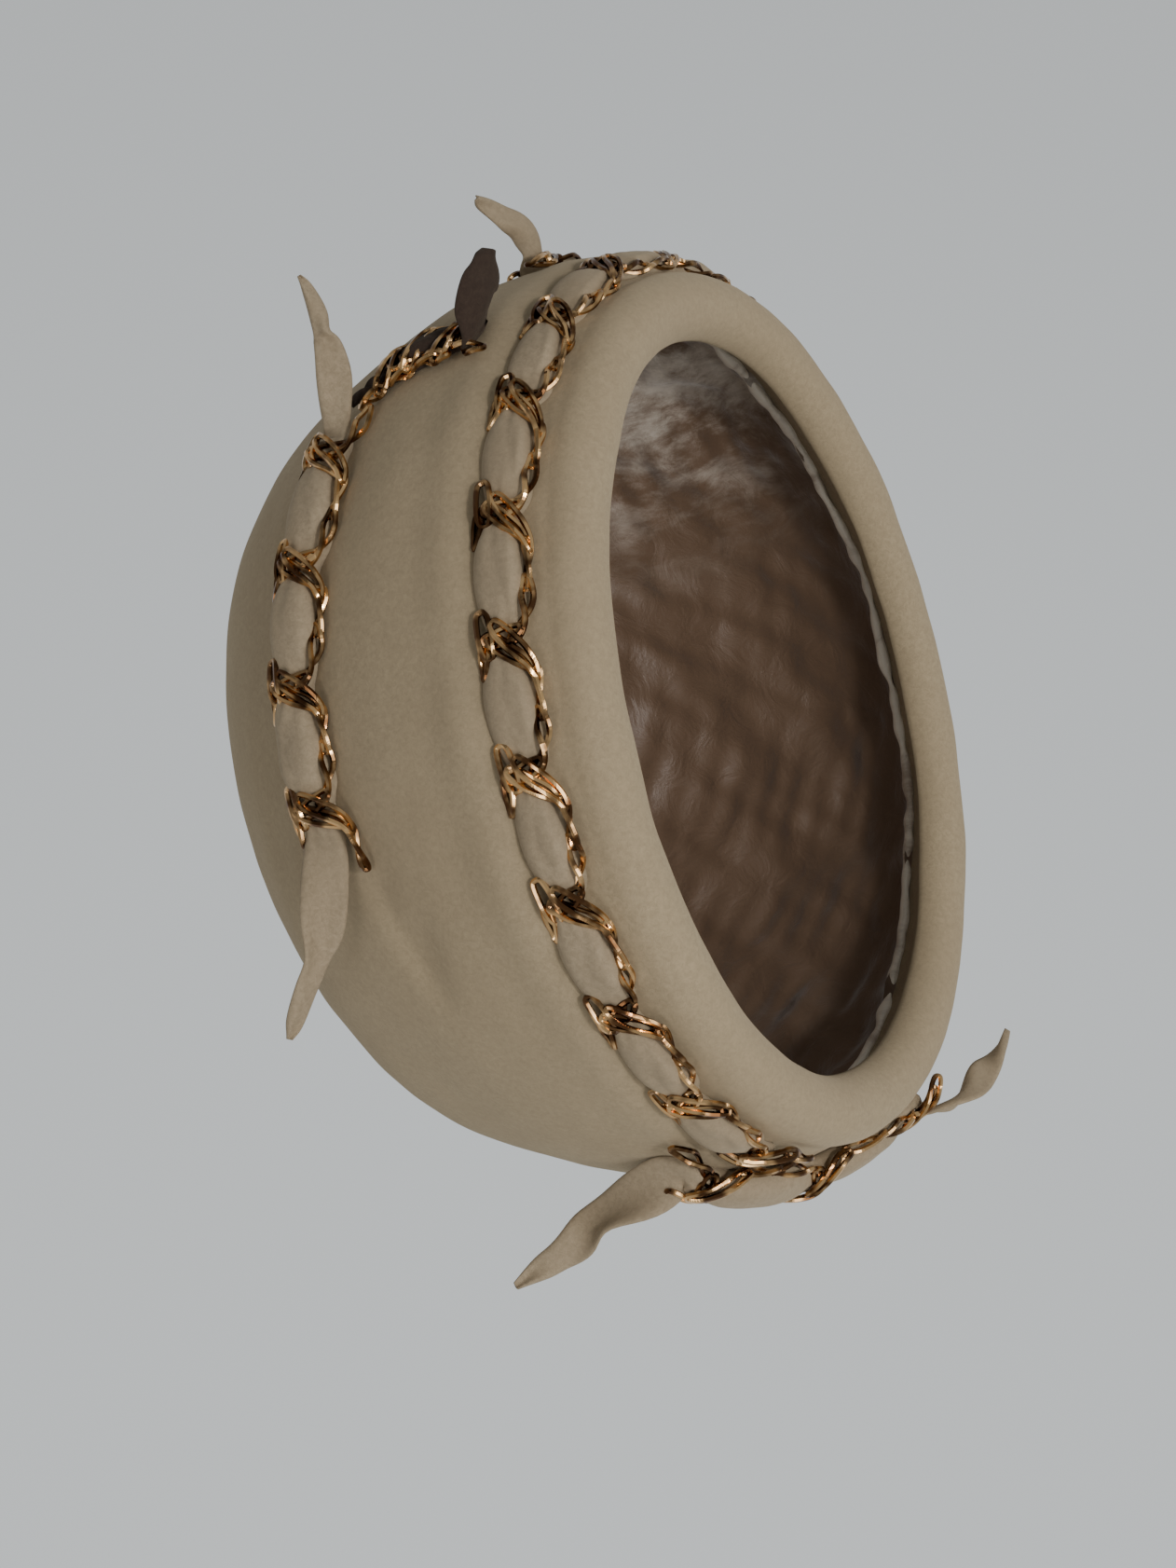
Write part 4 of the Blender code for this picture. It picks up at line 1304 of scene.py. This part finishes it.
    def tail_rows_of(self, tail: Tail, root: Array, at: float, direction: float) -> Array:
        """Return a tail's cross-sections.

        Args:
            tail: The tail.
            root: The strip's own last cross-section.
            at: Where the strip ends, along its route.
            direction: 1 where the tail runs on with the route, -1 where it runs back.

        Returns:
            The cross-sections, from the root to the tip.
        """
        across, on_top = self.outline()
        frame_here = self.route.frames(np.array([at]), np.array([0.0]))
        run = frame_here.ahead[0] * direction
        side, out = frame_here.across[0], frame_here.out[0]
        first = np.array([0.0, 0.0, self.root_lift, self.root_half / tail.length,
                          tail.shape[0].twist * self.root_twist])
        table = np.vstack([first, np.array(tail.shape)])
        fine = eased(table, np.linspace(0.0, len(table) - 1, self.tail_rows + 1))
        shift = fine[:, :1] * run + fine[:, 1:2] * side + fine[:, 2:3] * out
        centres = frame_here.point[0] + shift * tail.length
        ways = unit(np.gradient(centres, axis=0))
        rows = []
        lay, before = side.copy(), run
        for index in range(1, len(fine)):
            way = ways[index]
            axis = np.cross(before, way)
            swing = np.cross(axis, lay)
            lay = lay + swing + np.cross(axis, swing) / (1.0 + float(before @ way))
            before = way
            up = np.cross(way, lay) * direction
            twist = math.radians(float(fine[index, 4]))
            flat = lay * math.cos(twist) + up * math.sin(twist)
            normal = up * math.cos(twist) - lay * math.sin(twist)
            half = max(float(fine[index, 3]) * tail.length, self.least_half)
            thick = min(self.thickness, half * 1.1)
            wave = tail.wave * np.sin(across * self.cup_waves + index * self.cup_turns)
            cup = tail.cup * half * across ** 2 + wave
            thinned = 1.0 - self.rim_thinning * np.abs(across) ** self.rim_sharpness
            rise = np.where(on_top > 0, thick * thinned, 0.0)
            rows.append(centres[index] + np.outer(across * half, flat) + np.outer(rise + cup, normal))
        made = np.array(rows)
        blend = np.exp(-np.arange(1, len(made) + 1) / self.root_blend)[:, None, None]
        carried = root[None] + (made.mean(axis=1) - made[0].mean(axis=0))[:, None, :]
        return made * (1.0 - blend) + carried * blend

    @staticmethod
    def soften(grid: Array) -> Array:
        """Return the rows with each point eased a little towards its neighbours along the strip."""
        eased_grid = grid.copy()
        for _ in range(2):
            eased_grid[1:-1] = 0.5 * eased_grid[1:-1] + 0.25 * (eased_grid[:-2] + eased_grid[2:])
        return eased_grid


@dataclass
class CurbChain:
    """A chain of long round links that loops over its strip at each knot and follows its edge."""

    name: str
    route: TrimRoute
    knots: Array
    node: str
    pitch: float
    wire: float = 0.00072
    least_gap: float = 0.8
    end_flatness: float = 0.86
    end_roundness: float = 0.5
    way_step: float = 0.15
    longest_span: float = 0.030
    loop_points: int = 60
    sides: int = 6
    runs_on: bool = True
    jog: float = 0.0003
    seed: int = 9
    lines: list[Array] = field(default_factory=list)

    def build(self) -> bpy.types.Object:
        """Build every link of the chain as one mesh.

        Returns:
            The dressed piece.
        """
        chance = np.random.default_rng(self.seed)
        span = min(self.pitch, self.longest_span)
        for knot in self.knots:
            for path in (CROSS_LINK, UNDER_LINK, BACK_LINK, SECOND_LINK, OVER_LINK):
                self.add_link(path, float(knot), span, chance.uniform(-self.jog, self.jog, size=3))
            for path in (WIDE_LINK, THIN_LINK):
                if path is WIDE_LINK or knot < self.knots[-1] or self.runs_on:
                    self.add_link(path, float(knot), self.pitch, chance.uniform(-self.jog, self.jog, size=3))
        points, faces = self.sweep(np.array(self.lines))
        piece = add_mesh(self.name, points, faces, FINISHES[Slot.CHAIN].material())
        piece.data.shade_flat()
        return dress(piece, self.node)

    def oval(self) -> tuple[Array, Array]:
        """Return a link's outline: along it from 0 to 1, and across it from -1 to 1."""
        angle = np.linspace(0.0, 2 * math.pi, self.loop_points, endpoint=False)
        flat = self.end_flatness + (1.0 - self.end_flatness) * np.cos(angle) ** 2
        across = np.sign(np.sin(angle)) * np.abs(np.sin(angle)) ** self.end_roundness
        return 0.5 - 0.5 * np.cos(angle) * flat, across

    def add_link(self, path: tuple[LinkPoint, ...], knot: float, pitch: float, jog: Array) -> None:
        """Add the middle line of one link's wire.

        Args:
            path: How the link runs at the knot.
            knot: The knot's distance along the route.
            pitch: The knots' spacing.
            jog: Small shifts along, across and out, in metres.
        """
        share, across = self.oval()
        steps = share * (len(path) - 1)
        points = np.array(path)
        table = eased(points, steps)
        units = np.array([pitch, MM, MM, 0.0, 0.0])
        step = (eased(points, steps + self.way_step) - eased(points, steps - self.way_step)) * units
        frames = self.route.leaning(knot + table[:, 0] * pitch + jog[0], table[:, 1] * MM + jog[1])
        way = unit(frames.ahead * step[:, :1] + frames.across * step[:, 1:2] + frames.out * step[:, 2:3])
        lay = unit(np.cross(frames.out, way))
        turned = np.radians(table[:, 4])[:, None]
        flat = lay * np.cos(turned) + np.cross(way, lay) * np.sin(turned)
        half = np.maximum(table[:, 3] * MM / 2 - self.wire, self.wire * self.least_gap) * across
        height = np.maximum(table[:, 2:3] * MM + jog[2], self.wire)
        self.lines.append(frames.point + frames.out * height + flat * half[:, None])

    def sweep(self, loops: Array) -> tuple[Array, Array]:
        """Sweep round wires along closed loops.

        Args:
            loops: The loops' points, all with the same count.

        Returns:
            The points and the faces.
        """
        count, spots = loops.shape[:2]
        ways = unit(np.roll(loops, -1, axis=1) - np.roll(loops, 1, axis=1))
        guide = np.zeros_like(loops)
        lay = unit(np.cross(ways[:, 0], np.array([0.31, 0.52, 0.79])))
        guide[:, 0] = lay
        for index in range(1, spots):
            lay = unit(lay - ways[:, index] * dot(lay, ways[:, index]))
            guide[:, index] = lay
        back = unit(lay - ways[:, 0] * dot(lay, ways[:, 0]))
        side = np.cross(ways[:, 0], guide[:, 0])
        slip = np.arctan2(dot(back, side)[:, 0], dot(back, guide[:, 0])[:, 0])
        undo = -slip[:, None] * np.arange(spots)[None, :] / spots
        cross = np.cross(ways, guide)
        angles = 2 * np.pi * np.arange(self.sides)[None, None, :] / self.sides + undo[..., None]
        rings = loops[:, :, None, :] + self.wire * (
            np.cos(angles)[..., None] * guide[:, :, None, :]
            + np.sin(angles)[..., None] * cross[:, :, None, :])
        faces = grid_faces(spots, self.sides, closed=True, loop=True)
        offsets = (np.arange(count) * spots * self.sides)[:, None, None]
        return rings.reshape(-1, 3), (faces[None] + offsets).reshape(-1, 4)


@dataclass
class Trim:
    """One trim: its strip and the chain that binds it."""

    name: str
    route: TrimRoute
    knot_count: int
    slot: Slot
    start_tail: Tail | None = None
    end_tail: Tail | None = None
    neck: float = 0.009
    seed: int = 5
    runs_on: bool = True
    crossings: int = 1

    def build(self) -> list[bpy.types.Object]:
        """Build the strip and the chain.

        Returns:
            Both pieces.
        """
        knots = np.linspace(self.neck / 2, self.route.length - self.neck / 2, self.knot_count)
        strip = FeltStrip(self.name + "_felt_strip", self.route, knots, self.slot, self.name + "_strip",
                          self.start_tail, self.end_tail, seed=self.seed)
        places = np.linspace(knots[0], knots[-1], (self.knot_count - 1) * self.crossings + 1)
        chain = CurbChain(self.name + "_gold_chain", self.route, places, self.name + "_chain",
                          float(knots[1] - knots[0]), seed=self.seed + 1, runs_on=self.runs_on)
        return [strip.build(), chain.build()]


@dataclass
class Studio:
    """A plain pale floor far under the hat, soft lights, and the camera."""

    floor_drop: float = 2.20
    floor_reach: float = 8.0
    tone: Colour = (0.520, 0.542, 0.550)
    level: float = 0.78
    toward: float = 0.46
    tilt: float = 0.36
    lens: float = 45.19
    sensor: float = 36.0
    paint: Colour = (0.70, 0.72, 0.73)
    aim: tuple[float, float, float] = (0.0, -0.005, 0.07)
    eye: tuple[float, float, float] = (-0.45690, 0.022285, -0.236011)
    right: tuple[float, float, float] = (0.55197, 0.19621, -0.81045)
    up: tuple[float, float, float] = (0.09077, -0.98028, -0.17551)
    back: tuple[float, float, float] = (-0.82891, 0.02332, -0.55890)

    def build(self) -> None:
        """Build the stage, the lights and the camera."""
        self.floor()
        self.surroundings()
        self.light("key", right=0.66, up=-0.16, back=1.02, size=0.75, power=6.6)
        self.light("glint", right=0.42, up=0.02, back=0.95, size=0.10, power=3.6)
        self.light("window", right=-0.50, up=-0.45, back=1.00, size=0.42, power=2.2)
        self.light("lamp", right=1.20, up=0.25, back=0.35, size=0.50, power=2.0)
        self.camera()

    def floor(self) -> None:
        """Add the floor as a stage."""
        mesh = bpy.data.meshes.new("floor")
        r, z = self.floor_reach, -self.floor_drop
        mesh.from_pydata([(-r, -r, z), (r, -r, z), (r, r, z), (-r, r, z)], [], [(0, 1, 2, 3)])
        maker = NodeMaker("floor_paint")
        maker.shader.inputs["Base Color"].default_value = (*self.paint, 1.0)
        maker.shader.inputs["Roughness"].default_value = 0.9
        mesh.materials.append(maker.material)
        piece = bpy.data.objects.new("floor", mesh)
        bpy.context.scene.collection.objects.link(piece)

    def surroundings(self) -> None:
        """Make the world plain grey: pale behind the hat, darker behind the camera and at the top."""
        world = bpy.data.worlds.new("studio")
        world.use_nodes = True
        tree = world.node_tree
        places = tree.nodes.new("ShaderNodeTexCoord")
        measure = tree.nodes.new("ShaderNodeVectorMath")
        measure.operation = "DOT_PRODUCT"
        measure.inputs[1].default_value = -self.toward * Vector(self.back) - self.tilt * Vector(self.up)
        tree.links.new(places.outputs["Generated"], measure.inputs[0])
        total = tree.nodes.new("ShaderNodeMath")
        total.inputs[1].default_value = self.level
        tree.links.new(measure.outputs["Value"], total.inputs[0])
        node = tree.nodes["Background"]
        node.inputs["Color"].default_value = (*self.tone, 1.0)
        tree.links.new(total.outputs["Value"], node.inputs["Strength"])
        bpy.context.scene.world = world

    def light(self, name: str, right: float, up: float, back: float, size: float, power: float) -> None:
        """Add a soft light that faces the hat.

        Args:
            name: The light's name.
            right: How far it stands to the camera's right of the hat, in metres.
            up: How far it stands to the camera's top, in metres.
            back: How far it stands towards the camera, in metres.
            size: Its width, in metres.
            power: Its power, in watts.
        """
        data = bpy.data.lights.new(name, "AREA")
        data.energy = power
        data.shape = "SQUARE"
        data.size = size
        lamp = bpy.data.objects.new(name, data)
        middle = Vector(self.aim)
        place = middle + Vector(self.right) * right + Vector(self.up) * up + Vector(self.back) * back
        lamp.location = place
        lamp.rotation_mode = "QUATERNION"
        lamp.rotation_quaternion = (middle - place).to_track_quat("-Z", "Y")
        bpy.context.scene.collection.objects.link(lamp)

    def camera(self) -> None:
        """Add the camera where the photograph was taken from."""
        data = bpy.data.cameras.new("camera")
        data.lens = self.lens
        data.sensor_width = self.sensor
        data.clip_start = 0.01
        lens = bpy.data.objects.new("camera", data)
        axes = Matrix((self.right, self.up, self.back)).transposed().to_4x4()
        lens.matrix_world = Matrix.Translation(self.eye) @ axes
        bpy.context.scene.collection.objects.link(lens)
        bpy.context.scene.camera = lens


def main() -> None:
    """Build every piece in order, then the studio, and note the sizes."""
    logging.basicConfig(level=logging.INFO)
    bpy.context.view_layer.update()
    FeltCrown(FORM).build()
    SatinLining(FORM).build()
    LiningEdge(FORM).build()
    trims = (
        Trim("rim", TrimRoute.round_rim(FORM), 21, Slot.STRIP, seed=5),
        Trim("right", TrimRoute.through(FORM, RIGHT_TRIM_ROUTE, lean=0.40), 4, Slot.STRIP,
             Tail(0.043, RIGHT_FRONT_SHAPE), Tail(0.055, RIGHT_BACK_SHAPE), seed=15),
        Trim("left", TrimRoute.through(FORM, LEFT_TRIM_ROUTE), 4, Slot.STRIP,
             Tail(0.045, LEFT_BACK_SHAPE), Tail(0.036, LEFT_FRONT_SHAPE), seed=25),
        Trim("front", TrimRoute.through(FORM, FRONT_TRIM_ROUTE), 2, Slot.TAUPE,
             Tail(0.025, FRONT_LOW_SHAPE), Tail(0.018, FRONT_HIGH_SHAPE), seed=35, crossings=2),
        Trim("nape", TrimRoute.through(FORM, NAPE_TRIM_ROUTE, lean=0.45), 3, Slot.STRIP,
             Tail(0.073, NAPE_RIGHT_SHAPE), Tail(0.050, NAPE_LEFT_SHAPE), seed=45, runs_on=False),
    )
    for trim in trims:
        trim.build()
    Studio().build()


if __name__ == "__main__":
    main()
